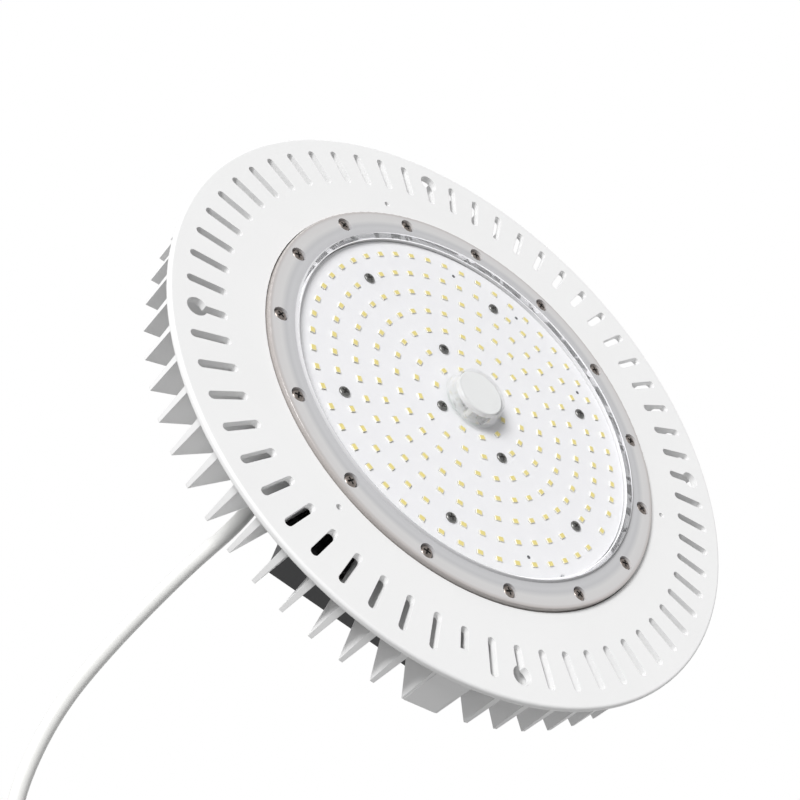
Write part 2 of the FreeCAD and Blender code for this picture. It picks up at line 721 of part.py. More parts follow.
def led_chips():
    length, width, height = size("chip_length"), size("chip_width"), size("chip_height")
    places = list(EXTRA_CHIPS)
    for ring, count, start, free in RINGS:
        places += [(ring, start + 360 * i / count) for i in range(count) if i not in free]
    for ring, start, count, step in CHIP_RUNS:
        places += [(ring, start + step * i) for i in range(count)]
    chips = []
    for ring, turn in places:
        chip = Part.makeBox(width, length, height, Vector(-width / 2, -length / 2, 0))
        x, y = polar(size("first_ring") + ring * size("ring_pitch"), turn)
        chip.Placement = FreeCAD.Placement(Vector(x, y, size(CHIP_FRONT)), FreeCAD.Rotation(UP, turn))
        chips.append(chip)
    return free_shape("led_chips", chips)


def board_screws():
    one = screw(*map(size, ("board_screw_radius", "board_screw_length", "board_screw_head",
                            "board_screw_height")))
    front = size(BOARD_FRONT)
    return free_shape("board_screws", [placed(one, size(x), size(y), front) for x, y in board_screw_places()])


def sensor():
    """Cover, board and posts of the sensor in the lens's dome."""
    cover = new_body("sensor_cover")
    turned = revolved(cover, [
        ("0", SHADE_FACE),
        ("shade_radius", SHADE_FACE),
        ("shade_radius", SHADE_BACK),
        ("shade_radius - shade_wall", SHADE_BACK),
        ("shade_radius - shade_wall", SHADE_FACE + " + shade_wall"),
        ("0", SHADE_FACE + " + shade_wall"),
    ])
    doc.recompute()
    edges = cover.newObject("PartDesign::Fillet", "cover_edge")
    edges.Base = (turned, [
        f"Edge{i}" for i, edge in enumerate(turned.Shape.Edges, start=1)
        if edge.BoundBox.ZMax < size(SHADE_FACE) + 0.01 and edge.BoundBox.XMax > size("shade_radius") - 0.01
    ])
    bind(edges, "Radius", "shade_round")
    keep(cover, "sensor_cover")

    board = new_body("sensor_board")
    revolved(board, [
        ("0", SHADE_BACK + " - sensor_board_thickness"),
        ("shade_radius - shade_wall", SHADE_BACK + " - sensor_board_thickness"),
        ("shade_radius - shade_wall", SHADE_BACK),
        ("0", SHADE_BACK),
    ])
    keep(board, "sensor_board")

    height = f"({BOARD_FRONT}) - ({SHADE_BACK})"
    posts = []
    for i in range(3):
        x, y = around("post_circle", f"plug_turn + 60 + {120 * i}")
        posts.append(rod(f"sensor_post_{i}", x, y, SHADE_BACK, "post_radius", height, turned=False))
    link = doc.addObject("Part::Compound", "sensor_posts")
    link.Links = posts
    keep(link, "sensor_posts")

    plug = doc.addObject("Part::Box", "plug_block")
    bind(plug, "Length", "plug_width")
    bind(plug, "Width", "plug_length")
    bind(plug, "Height", "plug_height")
    x, y = around("plug_centre - plug_width / 2", "plug_turn")
    side_x, side_y = around("plug_length / 2", "plug_turn + 90")
    place(plug, f"{x} - {side_x}", f"{y} - {side_y}", BOARD_FRONT + " - plug_height")
    bind(plug, ".Placement.Rotation.Angle", "plug_turn")
    keep(plug, "board_connector")


def wires():
    """Wires from the driver through the hub, and their grommet."""
    end = CASE_FLOOR + " + circuit_board_gap"
    sensor_wires = [
        rod(f"sensor_wire_{i}", f"{x} * wire_pitch", f"{y} * wire_pitch", SHADE_BACK, "wire_radius",
            f"({end}) - ({SHADE_BACK})", turned=False)
        for i, (x, y) in enumerate([(-1, 0), (0, 1), (1, 0)])
    ]
    group = doc.addObject("Part::Compound", "sensor_wires")
    group.Links = sensor_wires
    keep(group, "sensor_wires")

    led_wires = []
    level_z = BOARD_FRONT + " - plug_height / 2"
    for i, side in enumerate((-1, 1)):
        x, y = around("led_wire_circle", f"plug_turn + {side} * led_wire_turn")
        riser = rod(f"led_riser_{i}", x, y, level_z, "wire_radius", f"({end}) - ({level_z})", turned=False)
        elbow = doc.addObject("Part::Sphere", f"led_elbow_{i}")
        bind(elbow, "Radius", "wire_radius")
        place(elbow, x, y, level_z)
        run = doc.addObject("Part::Cylinder", f"led_run_{i}")
        bind(run, "Radius", "wire_radius")
        bind(run, "Height", "plug_centre - plug_width / 2 - led_wire_circle * cos(led_wire_turn * 1 deg)")
        place(run, x, y, level_z)
        run.Placement.Rotation = FreeCAD.Rotation(UP, Vector(*polar(1, size("plug_turn")), 0))
        led_wires.append(fuse(f"led_wire_{i}", [riser, elbow, run]))
    group = doc.addObject("Part::Compound", "led_wires")
    group.Links = led_wires
    keep(group, "led_wires")

    plug = new_body("grommet_blank")
    revolved(plug, [
        ("0", FIN_TOP + " - grommet_height"), ("hub_bore", FIN_TOP + " - grommet_height"),
        ("hub_bore", FIN_TOP), ("0", FIN_TOP),
    ])
    grommet = cut("hub_grommet", plug, sensor_wires + led_wires)
    keep(grommet, "hub_grommet")


def driver():
    """Tray, case, end caps and what the case holds."""
    plate = centred_box("tray_plate", "0", "0", FIN_TOP, "tray_length", "tray_width", "tray_thickness")
    sheet_metal = rounded("tray_corners", plate, "tray_round", upright)
    holes = [rod(f"tray_hole_{i}", x, y, FIN_TOP, "screw_hole", "tray_thickness")
             for i, (x, y) in enumerate(tray_screw_places())]
    holes += [rod(f"tray_foot_hole_{i}", x, y, FIN_TOP, "board_screw_radius", "tray_thickness")
              for i, (x, y) in enumerate(foot_places())]
    holes.append(rod("tray_wire_hole", "0", "0", FIN_TOP, "hub_bore + 1", "tray_thickness"))
    keep(cut("driver_tray", sheet_metal, holes), "driver_tray")

    length = "driver_length - 2 * cap_length"
    outer = centred_box("case_outer", "0", "0", TRAY_TOP, length, "driver_width", "driver_height")
    shell = rounded("case_rounded", outer, "driver_round", lambda e: e.BoundBox.ZLength < 0.1
                    and e.Length > size("driver_length") / 2)
    feet = [
        box(f"case_foot_{a}_{b}", f"{a} * foot_pitch / 2 - foot_length / 2",
            f"{b} * (driver_width + foot_reach - foot_root) / 2 - (foot_reach + foot_root) / 2", TRAY_TOP,
            "foot_length", "foot_reach + foot_root", "foot_height")
        for a in (-1, 1) for b in (-1, 1)
    ]
    tools = [centred_box("case_inner", "0", "0", CASE_FLOOR, length,
                         "driver_width - 2 * case_wall", "driver_height - 2 * case_wall")]
    tools.append(rod("case_wire_hole", "0", "0", TRAY_TOP, "hub_bore + 1", "case_wall"))
    tools += [rod(f"case_screw_space_{i}", x, y, TRAY_TOP, "screw_sink", "case_wall")
              for i, (x, y) in enumerate(tray_screw_places())]
    tools += [rod(f"foot_hole_{i}", x, y, TRAY_TOP, "board_screw_hole", "foot_height")
              for i, (x, y) in enumerate(foot_places())]
    tools += [rod(f"cap_screw_hole_{i}", x, y, CASE_FLOOR, "board_screw_hole", "driver_height")
              for i, (x, y) in enumerate(cap_screw_places(-1) + cap_screw_places(1))]
    tools += link_holes("case_link_hole", "- driver_width / 2")
    keep(cut("driver_case", fuse("case_blank", [shell] + feet), tools), "driver_case")

    for name, side in (("driver_front_cap", -1), ("driver_rear_cap", 1)):
        centre = f"{side} * (driver_length - cap_length) / 2"
        plate = centred_box(name + "_plate", centre, "0", TRAY_TOP,
                            "cap_length", "driver_width", "driver_height")
        block = rounded(name + "_rounded", plate, "driver_round",
                        lambda e: e.BoundBox.ZLength < 0.1 and abs(e.Length - size("cap_length")) < 0.01)
        spigot_centre = f"{side} * ((driver_length - cap_spigot + spigot_root) / 2 - cap_length)"
        spigot = centred_box(name + "_spigot", spigot_centre, "0", CASE_FLOOR + " + gap",
                             "cap_spigot + spigot_root", "driver_width - 2 * case_wall - 2 * gap",
                             "driver_height - 2 * case_wall - 2 * gap")
        depth = "cap_screw_bite + tapping_spare"
        holes = [
            rod(f"{name}_tapped_{i}", x, y, f"{TRAY_TOP} + driver_height - case_wall - gap - ({depth})",
                "board_screw_radius", depth)
            for i, (x, y) in enumerate(cap_screw_places(side))
        ]
        keep(cut(name, fuse(name + "_blank", [block, spigot]), holes), name)

    one = screw(*map(size, ("screw_radius", "tray_screw_length - tray_screw_spare", "screw_head_radius",
                            "screw_head_height")))
    free_shape("tray_screws", [
        placed(one, *map(size, on_driver(x, y)), size(TRAY_TOP), flipped=True)
        for x, y in tray_screw_places() + bracket_screw_places()
    ])
    one = screw(*map(size, ("board_screw_radius", "foot_height + tray_thickness", "board_screw_head",
                            "board_screw_height")))
    free_shape("foot_screws", [
        placed(one, *map(size, on_driver(x, y)), size(TRAY_TOP + " + foot_height"), flipped=True)
        for x, y in foot_places()
    ])
    one = screw(*map(size, ("board_screw_radius", "case_wall + gap + cap_screw_bite", "board_screw_head",
                            "board_screw_height")))
    free_shape("cap_screws", [
        placed(one, *map(size, on_driver(x, y)), size(TRAY_TOP + " + driver_height"), flipped=True)
        for x, y in cap_screw_places(-1) + cap_screw_places(1)
    ])
    driver_inside()


def foot_places():
    return [
        (f"{a} * foot_pitch / 2", f"{b} * (driver_width + foot_reach) / 2") for a in (-1, 1) for b in (-1, 1)
    ]


def cap_screw_places(side):
    return [
        (f"{side} * ((driver_length - cap_spigot) / 2 - cap_length)", f"{b} * cap_screw_pitch")
        for b in (-1, 0, 1)
    ]


def across_rod(name, x, y, z, radius, length):
    """A cylinder across the driver, from its low end."""
    solid = doc.addObject("Part::Cylinder", name)
    bind(solid, "Radius", radius)
    bind(solid, "Height", length)
    low_x, low_y = on_driver(x, y)
    place(solid, low_x, low_y, z)
    solid.Placement.Rotation = FreeCAD.Rotation(UP, Vector(*polar(1, size("driver_turn") + 90), 0))
    return solid


def link_places():
    return [f"{BLOCK_X} + {i} * link_pitch" for i in (-1, 0, 1)]


def link_holes(name, y):
    """Holes through a wall, from its outer face on the low side."""
    return [
        across_rod(f"{name}_{i}", x, f"{y} - 1", TRAY_TOP + " + link_height", "link_hole", "case_wall + 2")
        for i, x in enumerate(link_places())
    ]


def driver_inside():
    width = "driver_width - 2 * case_wall - 2 * circuit_board_margin"
    board_z = CASE_FLOOR + " + circuit_board_gap"
    board = centred_box("circuit_board", "0", "0", board_z, "circuit_board_length", width,
                        "circuit_board_thickness")
    keep(board, "driver_board")
    standoffs = doc.addObject("Part::Compound", "driver_standoffs")
    standoffs.Links = [
        rod(f"standoff_{a}_{b}", f"{a} * (circuit_board_length / 2 - 3 * standoff_radius)",
            f"{b} * (driver_width / 4)", CASE_FLOOR, "standoff_radius", "circuit_board_gap")
        for a in (-1, 1) for b in (-1, 1)
    ]
    keep(standoffs, "driver_standoffs")
    keep(centred_box("transformer", "transformer_along", "transformer_across", CIRCUIT_TOP,
                     "transformer_size", "transformer_size", "transformer_height"), "transformer")
    choke = cut("choke", rod("choke_ring", "choke_along", "0", CIRCUIT_TOP, "choke_radius", "choke_height"),
                [rod("choke_hole", "choke_along", "0", CIRCUIT_TOP, "choke_bore", "choke_height")])
    keep(choke, "choke")
    capacitors = doc.addObject("Part::Compound", "capacitors")
    capacitors.Links = [
        rod(f"capacitor_{i}", "capacitor_along", f"{i} * capacitor_pitch", CIRCUIT_TOP, "capacitor_radius",
            "capacitor_height")
        for i in (-1, 0, 1)
    ]
    keep(capacitors, "capacitors")
    keep(box("spreader", "- spreader_length / 2", "driver_width / 2 - case_wall - spreader_width",
             CIRCUIT_TOP, "spreader_length", "spreader_width", "spreader_height"), "heat_spreader")


def terminal_box():
    """Bracket and box beside the driver, in which the lead ends."""
    plate = box("bracket_plate", "- bracket_end", f"{BRACKET_Y} - bracket_width / 2", FIN_TOP,
                "bracket_length", "bracket_width", "tray_thickness")
    holes = [rod(f"bracket_hole_{i}", x, y, FIN_TOP, "screw_hole", "tray_thickness")
             for i, (x, y) in enumerate(bracket_screw_places())]
    keep(cut("terminal_bracket", rounded("bracket_corners", plate, "tray_round", upright), holes),
         "terminal_bracket")

    low_x = f"{TERMINAL_X} - terminal_length / 2"
    outer = rounded("terminal_rounded", centred_box("terminal_outer", TERMINAL_X, TERMINAL_Y, TRAY_TOP,
                    "terminal_length", "terminal_width", "terminal_height"), "terminal_round", upright)
    inner = centred_box("terminal_inner", TERMINAL_X, TERMINAL_Y, TRAY_TOP + " + terminal_wall",
                        "terminal_length - 2 * terminal_wall", "terminal_width - 2 * terminal_wall",
                        "terminal_height - terminal_wall")
    posts = [rod(f"lid_post_{i}", x, y, TRAY_TOP, "lid_post_radius", "terminal_height")
             for i, (x, y) in enumerate(lid_places())]
    shell = fuse("terminal_walls", [cut("terminal_shell", outer, [inner])] + posts)
    bore = new_body("gland_way")
    revolved(bore, [("0", "0"), ("terminal_wall + 1", "0"), ("terminal_wall + 1", "gland_thread"),
                    ("0", "gland_thread")], axis="H_Axis")
    place(bore, f"{low_x} + terminal_wall + 0.5", TERMINAL_Y, GLAND_Z, turned=True, half_turn=True)
    depth = "lid_screw_bite + tapping_spare"
    tapped_from = f"{TRAY_TOP} + terminal_height - ({depth})"
    holes = [rod(f"lid_tapped_{i}", x, y, tapped_from, "board_screw_radius", depth)
             for i, (x, y) in enumerate(lid_places())]
    holes += link_holes("box_link_hole", f"{TERMINAL_Y} + terminal_width / 2 - terminal_wall")
    keep(cut("terminal_box", shell, [bore] + holes), "terminal_box")

    seal_z = TRAY_TOP + " + terminal_height"
    seal_outer = centred_box("seal_outer", TERMINAL_X, TERMINAL_Y, seal_z,
                             "terminal_length", "terminal_width", "lid_seal")
    seal = rounded("seal_rounded", seal_outer, "terminal_round", upright)
    hole = centred_box("seal_inner", TERMINAL_X, TERMINAL_Y, seal_z, "lid_opening",
                       "terminal_width - 2 * terminal_wall - 2", "lid_seal")
    bores = [rod(f"seal_hole_{i}", x, y, seal_z, "board_screw_hole", "lid_seal")
             for i, (x, y) in enumerate(lid_places())]
    keep(cut("lid_seal_ring", seal, [hole] + bores), "terminal_lid_seal")

    lid_z = seal_z + " + lid_seal"
    lid = rounded("lid_rounded", centred_box("lid_plate", TERMINAL_X, TERMINAL_Y, lid_z, "terminal_length",
                  "terminal_width", "lid_thickness"), "terminal_round", upright)
    bores = [rod(f"lid_hole_{i}", x, y, lid_z, "board_screw_hole", "lid_thickness")
             for i, (x, y) in enumerate(lid_places())]
    keep(cut("terminal_lid", lid, bores), "terminal_lid")
    one = screw(*map(size, ("board_screw_radius", "lid_thickness + lid_seal + lid_screw_bite",
                            "board_screw_head", "board_screw_height")))
    top = size(lid_z + " + lid_thickness")
    free_shape("lid_screws", [placed(one, *map(size, on_driver(x, y)), top, flipped=True)
                              for x, y in lid_places()])
    keep(centred_box("terminal_block_body", BLOCK_X, TERMINAL_Y, TRAY_TOP + " + terminal_wall",
                     "block_length", "block_depth", "gland_height - terminal_wall + block_height / 2"),
         "terminal_block")
    links = doc.addObject("Part::Compound", "link_wires")
    links.Links = [
        across_rod(f"link_wire_{i}", x, f"{TERMINAL_Y} + block_depth / 2", TRAY_TOP + " + link_height",
                   "wire_radius", "link_length")
        for i, x in enumerate(link_places())
    ]
    keep(links, "link_wires")


def lid_places():
    return [
        (f"{TERMINAL_X} + {a} * (terminal_length / 2 - lid_screw_end)",
         f"{TERMINAL_Y} + {b} * (terminal_width / 2 - lid_screw_inset)")
        for a in (-1, 1) for b in (-1, 1)
    ]


BLOCK_X = "block_length / 2 + core_inside + insert_length + locknut_length + terminal_wall - terminal_end"


def gland():
    """Cable gland; its pieces are turned outlines along the lead's axis, outwards."""
    def turned_piece(name, points):
        body = new_body(name)
        revolved(body, points, axis="H_Axis")
        place(body, "- terminal_end", TERMINAL_Y, GLAND_Z, turned=True, half_turn=True)
        return body

    wall = "terminal_wall"
    inside = f"- {wall} - locknut_length"
    body = turned_piece("gland_body", [
        (inside, "lead_radius + gap"),
        ("gland_collar", "lead_radius + gap"),
        ("gland_collar", "insert_radius"),
        ("gland_collar + insert_length", "insert_radius"),
        ("gland_collar + insert_length", "gland_thread"),
        ("gland_collar", "gland_thread"),
        ("gland_collar", "gland_hex"),
        ("0", "gland_hex"),
        ("0", "gland_thread"),
        (inside, "gland_thread"),
    ])
    keep(body, "gland_body")
    keep(turned_piece("gland_insert", [
        ("gland_collar", "lead_radius"), ("gland_collar + insert_length", "lead_radius"),
        ("gland_collar + insert_length", "insert_radius"), ("gland_collar", "insert_radius"),
    ]), "gland_seal")
    keep(turned_piece("gland_dome_nut", [
        ("gland_collar", "gland_thread"),
        ("gland_collar + insert_length", "gland_thread"),
        ("gland_collar + insert_length", "lead_radius + gap"),
        ("gland_collar + gland_nut_length", "lead_radius + gap"),
        ("gland_collar + gland_nut_length", "gland_dome_end"),
        ("gland_collar + 0.6 * gland_nut_length", "gland_dome"),
        ("gland_collar", "gland_dome"),
    ]), "gland_nut")
    keep(turned_piece("gland_lock", [
        (inside, "gland_thread"), (f"- {wall}", "gland_thread"), (f"- {wall}", "gland_hex + 1"),
        (inside, "gland_hex + 1"),
    ]), "gland_locknut")
    stub = turned_piece("inner_lead", [
        (f"{inside} - insert_length", "0"), ("gland_collar + gland_nut_length", "0"),
        ("gland_collar + gland_nut_length", "lead_radius"), (f"{inside} - insert_length", "lead_radius"),
    ])
    keep(stub, "inner_lead")


def rounded_path(points):
    """Straight runs joined by tangent arcs, and the arcs' radii."""
    shared, whole = 0.45, 0.9  # how much of a run an arc may take: between two corners, and at the path's ends
    edges, radii = [], []
    last = points[0]
    for before, corner, after in zip(points, points[1:], points[2:]):
        into, out = (corner - before), (after - corner)
        into_share = whole if before is points[0] else shared
        out_share = whole if after is points[-1] else shared
        reach = min(into_share * into.Length, out_share * out.Length)
        into.normalize()
        out.normalize()
        turn = into.getAngle(out)
        radius = reach / math.tan(turn / 2)
        start, end = corner - into * reach, corner + out * reach
        inward = (out - into)
        inward.normalize()
        middle = corner + inward * (radius / math.cos(turn / 2) - radius)
        edges.append(Part.LineSegment(last, start).toShape())
        edges.append(Part.Arc(start, middle, end).toShape())
        radii.append(radius)
        last = end
    edges.append(Part.LineSegment(last, points[-1]).toShape())
    return Part.Wire(edges), radii


def tube(path, radius):
    """A solid round section swept along a wire."""
    edge = path.Edges[0]
    start, tangent = edge.valueAt(edge.FirstParameter), edge.tangentAt(edge.FirstParameter)
    disc = Part.Wire([Part.makeCircle(radius, start, tangent)])
    return path.makePipeShell([disc], True, False)


def mains_lead():
    """The lead outside the gland, then its cores and ferrules."""
    x, y = map(size, on_driver(GLAND_END, TERMINAL_Y))
    start = Vector(x, y, size(GLAND_Z))
    x, y = map(size, on_driver(GLAND_END + " - lead_straight", TERMINAL_Y))
    first = Vector(x, y, size(GLAND_Z))
    path, radii = rounded_path([start, first] + [Vector(*point) for point in LEAD_ROUTE])
    solid = tube(path, size("lead_radius"))
    ideal = math.pi * size("lead_radius") ** 2 * path.Length
    print("lead length", round(path.Length, 1), "radii", [round(r, 1) for r in radii],
          "volume ratio", round(solid.Volume / ideal, 5))
    free_shape("mains_lead", [solid])

    tip = Vector(*LEAD_ROUTE[-1])
    down = tip - Vector(*LEAD_ROUTE[-2])
    down.normalize()
    aside = down.cross(UP)
    aside.normalize()
    across = down.cross(aside)
    spread = size("core_radius") * 1.2
    bare = size("core_length - ferrule_length")
    ends = []
    for name, turn in (("core_brown", 90), ("core_blue", 210), ("core_earth", 330)):
        a, b = polar(spread, turn)
        foot = tip + aside * a + across * b
        free_shape(name, [Part.makeCylinder(size("core_radius"), bare, foot, down)])
        ferrule_foot = foot + down * bare
        ends.append(Part.makeCylinder(size("ferrule_radius"), size("ferrule_length"), ferrule_foot, down))
    free_shape("ferrules", ends)


def inner_cores():
    """Cores from the end of the sheath inside the box to the terminal block."""
    bodies = []
    for i, (side, lift) in enumerate(((-1, 0), (1, 0), (0, 1))):
        body = new_body(f"inner_core_{i}")
        outline = [("0", "0"), ("core_inside", "0"), ("core_inside", "core_radius"), ("0", "core_radius")]
        revolved(body, outline, axis="H_Axis")
        place(body, "terminal_wall + locknut_length + insert_length - terminal_end",
              f"{TERMINAL_Y} + {side} * 1.2 * core_radius", f"{GLAND_Z} + ({lift} * 2 - 0.7) * core_radius",
              turned=True)
        bodies.append(body)
    group = doc.addObject("Part::Compound", "inner_cores")
    group.Links = bodies
    keep(group, "inner_cores")


heat_sink()
lens()
flat_ring("lens_seal", "groove_inner", "groove_inner + groove_width", "recess_depth",
          "recess_depth + groove_depth")
lens_screws()
thermal_pad()
led_board()
led_chips()
board_screws()
sensor()
wires()
driver()
terminal_box()
gland()
mains_lead()
inner_cores()
doc.recompute()

for item in doc.Objects:
    if "Invalid" in item.State or "Error" in item.State:
        raise RuntimeError(f"{item.Name} failed: {item.State}")
labels = [item.Label for item in parts]
if len(set(labels)) != len(labels):
    raise RuntimeError("two sub-parts share a label")
for item in parts:
    if item.Shape.isNull() or not item.Shape.isValid():
        raise RuntimeError(f"{item.Label} has no valid shape")
os.makedirs("parts", exist_ok=True)
for item in parts:
    item.Shape.exportStep(os.path.join("parts", item.Label + ".step"))
    print(item.Label, len(item.Shape.Solids), round(item.Shape.Volume / 1000, 2), "cm3")
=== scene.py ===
"""High bay light: its finishes, and the pieces that have fine detail.

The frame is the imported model's, in metres: the lens faces -Z, the fins and the driver are on the
+Z side. Sizes named here are in millimetres and turns in degrees, unless a comment says otherwise.
"""

import math

import bmesh
import bpy
from mathutils import Matrix, Vector


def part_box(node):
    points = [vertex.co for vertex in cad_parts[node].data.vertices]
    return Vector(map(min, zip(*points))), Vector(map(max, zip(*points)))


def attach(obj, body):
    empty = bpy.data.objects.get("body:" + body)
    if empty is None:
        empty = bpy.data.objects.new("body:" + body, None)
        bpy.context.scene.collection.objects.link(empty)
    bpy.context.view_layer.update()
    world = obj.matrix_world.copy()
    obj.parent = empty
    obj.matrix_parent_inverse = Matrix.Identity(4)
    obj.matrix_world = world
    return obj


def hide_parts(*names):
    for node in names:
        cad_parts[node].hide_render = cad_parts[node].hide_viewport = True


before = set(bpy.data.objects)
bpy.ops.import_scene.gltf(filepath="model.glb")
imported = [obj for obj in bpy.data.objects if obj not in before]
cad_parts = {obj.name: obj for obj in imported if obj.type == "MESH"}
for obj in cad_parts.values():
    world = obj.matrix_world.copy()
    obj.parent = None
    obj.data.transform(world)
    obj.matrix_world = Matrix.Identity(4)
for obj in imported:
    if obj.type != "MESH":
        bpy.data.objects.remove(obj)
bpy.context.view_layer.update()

bl_info = {
    "name": "High bay light",
    "version": (1, 0, 0),
    "blender": (4, 5, 0),
    "location": "3D View > Sidebar > High bay",
    "description": "Finishes and fine pieces of a round finned high bay light",
    "category": "Object",
}

MM = 0.001
DRIVER_TURN = math.radians(25)  # in radians

# LEDs and board screws stand on rings about the lamp's axis
FIRST_RING, RING_PITCH = 21.5, 12.5
# rings with even places: ring, places in it, turn of the first, places left free
LED_RINGS = (
    (2, 24, 4.8, ()),
    (3, 32, 4.9, ()),
    (4, 38, 6.3, ()),
    (5, 46, 5.6, (2, 9, 17, 25, 32, 40)),
    (6, 52, 0.2, (18, 19)),
)
# the two inner rings run between their screws: ring, turn of the first, LEDs, turn to the next
LED_RUNS = ((0, 101, 4, 34.2), (0, 282.6, 4, 36.3), (1, 0.6, 8, 19.6), (1, 175.5, 8, 20.5))
# one LED stands between the outer ring's two free places: ring, turn
LONE_LED = (6, 127.3)
# ring, turn
BOARD_SCREW_PLACES = (
    (0, 66), (0, 246), (1, 154), (1, 340.5),
    (5, 21.9), (5, 75.5), (5, 136.3), (5, 198.5), (5, 255), (5, 319.4),
)
TEST_HOLE_CIRCLE, TEST_HOLE_TURNS = 92, (31.7, 66, 3.8, 167.4)
TEST_HOLE_OUTLINE = ((0.02, -0.02), (0.75, -0.03), (0.8, -0.05), (1.0, -0.05), (1.05, 0))
LENS_SCREW_CIRCLE, LENS_SCREWS, LENS_SCREW_TURN = 116, 15, 12

# pan-head screws: shank and head are radii, length is under the head and height is the head's
LENS_SCREW = {"shank": 2.0, "length": 8.0, "head": 3.5, "height": 2.3}
BOARD_SCREW = {"shank": 1.5, "length": 5.0, "head": 3.1, "height": 1.3}
THREAD_PITCH, THREAD_CORE = 0.7, 0.86
# the head's outline, as parts of its radius and height
PAN_HEAD = ((0.97, 0), (1, 0.12), (0.98, 0.5), (0.9, 0.76), (0.72, 0.93), (0.45, 1))
# the cross recess: half its length and half its width as parts of the head's radius, its depth as
# a part of the head's height, and what is left of its length and width at its foot
RECESS_ARM, RECESS_WING, RECESS_DEPTH, RECESS_FOOT = 0.62, 0.15, 0.62, (0.3, 0.6)
# how much further each screw is turned than the one before
SCREW_TURN = 37

# the gland's nut, turned from radius and height points; its foot is on the driver's axes
GLAND_NUT_FOOT = (-46, -66, 52)
GLAND_NUT_LENGTH, GLAND_NUT_BORE = 22.0, 4.1
GLAND_NUT_OUTLINE = (
    (8, 0.3), (8.8, 0), (9.4, 0.4), (9.6, 1.0), (9.6, 11.6), (9.3, 13.2), (8.8, 15.2), (8.1, 17.4),
    (7.3, 19.6), (6.6, 21.4), (6.2, GLAND_NUT_LENGTH), (5.0, GLAND_NUT_LENGTH),
    (GLAND_NUT_BORE, GLAND_NUT_LENGTH - 0.6), (GLAND_NUT_BORE, 9), (8, 9), (8, 0.3),
)
NUT_GROOVES, NUT_GROOVE_DEPTH, NUT_GROOVED_ROWS = 12, 0.55, (3, 4, 5)

# the lead from the gland's outer face to the end of its sheath, in metres
LEAD_ROUTE = (
    (-0.0337, -0.0886, 0.0520), (-0.0464, -0.0945, 0.0520), (-0.0668, -0.1063, 0.0616),
    (-0.0865, -0.1254, 0.0750), (-0.1075, -0.1430, 0.0882), (-0.1287, -0.1594, 0.1010),
    (-0.1500, -0.1736, 0.1130), (-0.1716, -0.1828, 0.1240), (-0.1946, -0.1884, 0.1332),
    (-0.2195, -0.1890, 0.1368), (-0.2425, -0.1845, 0.1275), (-0.2575, -0.1785, 0.1085),
    (-0.2605, -0.1730, 0.0835),
)

# the stage, its places in metres
CAMERA_PLACE, CAMERA_TURNS = (-0.49772, -0.45600, -0.47181), (-139.5814, 36.0950, 99.8891)
CAMERA_LENS, CAMERA_SENSOR, CAMERA_SHIFT = 71.394, 36, (-0.04946, 0.11616)
CAMERA_CLIP = (0.02, 20)
KEY_PLACE, KEY_SPREAD = (0.256, -1.19, -1.04), 25
FLOOR_HEIGHT, FLOOR_REACH = -1.1, 6


def linear(colour):
    """An sRGB hex colour as linear values with full alpha."""
    channels = [int(colour[i:i + 2], 16) / 255 for i in (0, 2, 4)]
    return (*[c / 12.92 if c <= 0.04045 else ((c + 0.055) / 1.055) ** 2.4 for c in channels], 1.0)


def per_metre(millimetres):
    """The scale of a pattern whose features are this far apart."""
    return 1000 / millimetres


def polar(radius, turn):
    """A point on a circle about the lamp's axis, from millimetres and degrees to metres."""
    angle = math.radians(turn)
    return Vector((radius * MM * math.cos(angle), radius * MM * math.sin(angle), 0))


def on_driver(x, y, z):
    """A point on the driver's turned axes, from millimetres to metres."""
    return Matrix.Rotation(DRIVER_TURN, 3, "Z") @ Vector((x, y, z)) * MM


def ring_place(ring, turn):
    """A point on one of the board's rings."""
    return polar(FIRST_RING + ring * RING_PITCH, turn)


# ---------------------------------------------------------------- nodes and materials

def add_node(tree, kind, inputs=None, **settings):
    """Add a node with its settings; an input that is a socket is linked, any other is set."""
    node = tree.nodes.new(kind)
    for name, value in settings.items():
        setattr(node, name, value)
    for socket, value in (inputs or {}).items():
        if isinstance(value, bpy.types.NodeSocket):
            tree.links.new(value, node.inputs[socket])
        else:
            node.inputs[socket].default_value = value
    return node


def finish(name, colour, **sockets):
    """A material with one Principled shader; returns the material, its tree and the shader."""
    material = bpy.data.materials.new(name)
    material.use_nodes = True
    tree = material.node_tree
    tree.nodes.clear()
    inputs = {key.replace("_", " "): value for key, value in sockets.items()}
    shader = add_node(tree, "ShaderNodeBsdfPrincipled", {"Base Color": colour, **inputs})
    add_node(tree, "ShaderNodeOutputMaterial", {"Surface": shader.outputs[0]})
    material.diffuse_color = colour
    return material, tree, shader


def raised(tree, shader, value, height, strength):
    """Let a pattern raise the surface by up to this many millimetres."""
    bump = add_node(tree, "ShaderNodeBump",
                    {"Height": value, "Strength": strength, "Distance": height * MM})
    tree.links.new(bump.outputs[0], shader.inputs["Normal"])


def grain(tree, shader, size, height, strength):
    """An even fine relief, its grain and height in millimetres; returns the pattern's value."""
    place = add_node(tree, "ShaderNodeTexCoord")
    noise = add_node(tree, "ShaderNodeTexNoise", {
        "Vector": place.outputs["Object"], "Scale": per_metre(size), "Detail": 2.0,
        "Roughness": 0.55,
    })
    raised(tree, shader, noise.outputs[0], height, strength)
    return noise.outputs[0]


def copper_relief(tree, shader, size, edge, height, strength):
    """Copper areas of this size under solder mask, in millimetres; returns their value."""
    place = add_node(tree, "ShaderNodeTexCoord")
    cells = add_node(tree, "ShaderNodeTexVoronoi",
                     {"Vector": place.outputs["Object"], "Scale": per_metre(size)},
                     feature="DISTANCE_TO_EDGE")
    copper = add_node(tree, "ShaderNodeMapRange",
                      {"Value": cells.outputs["Distance"], "From Max": edge})
    raised(tree, shader, copper.outputs[0], height, strength)
    return copper.outputs[0]


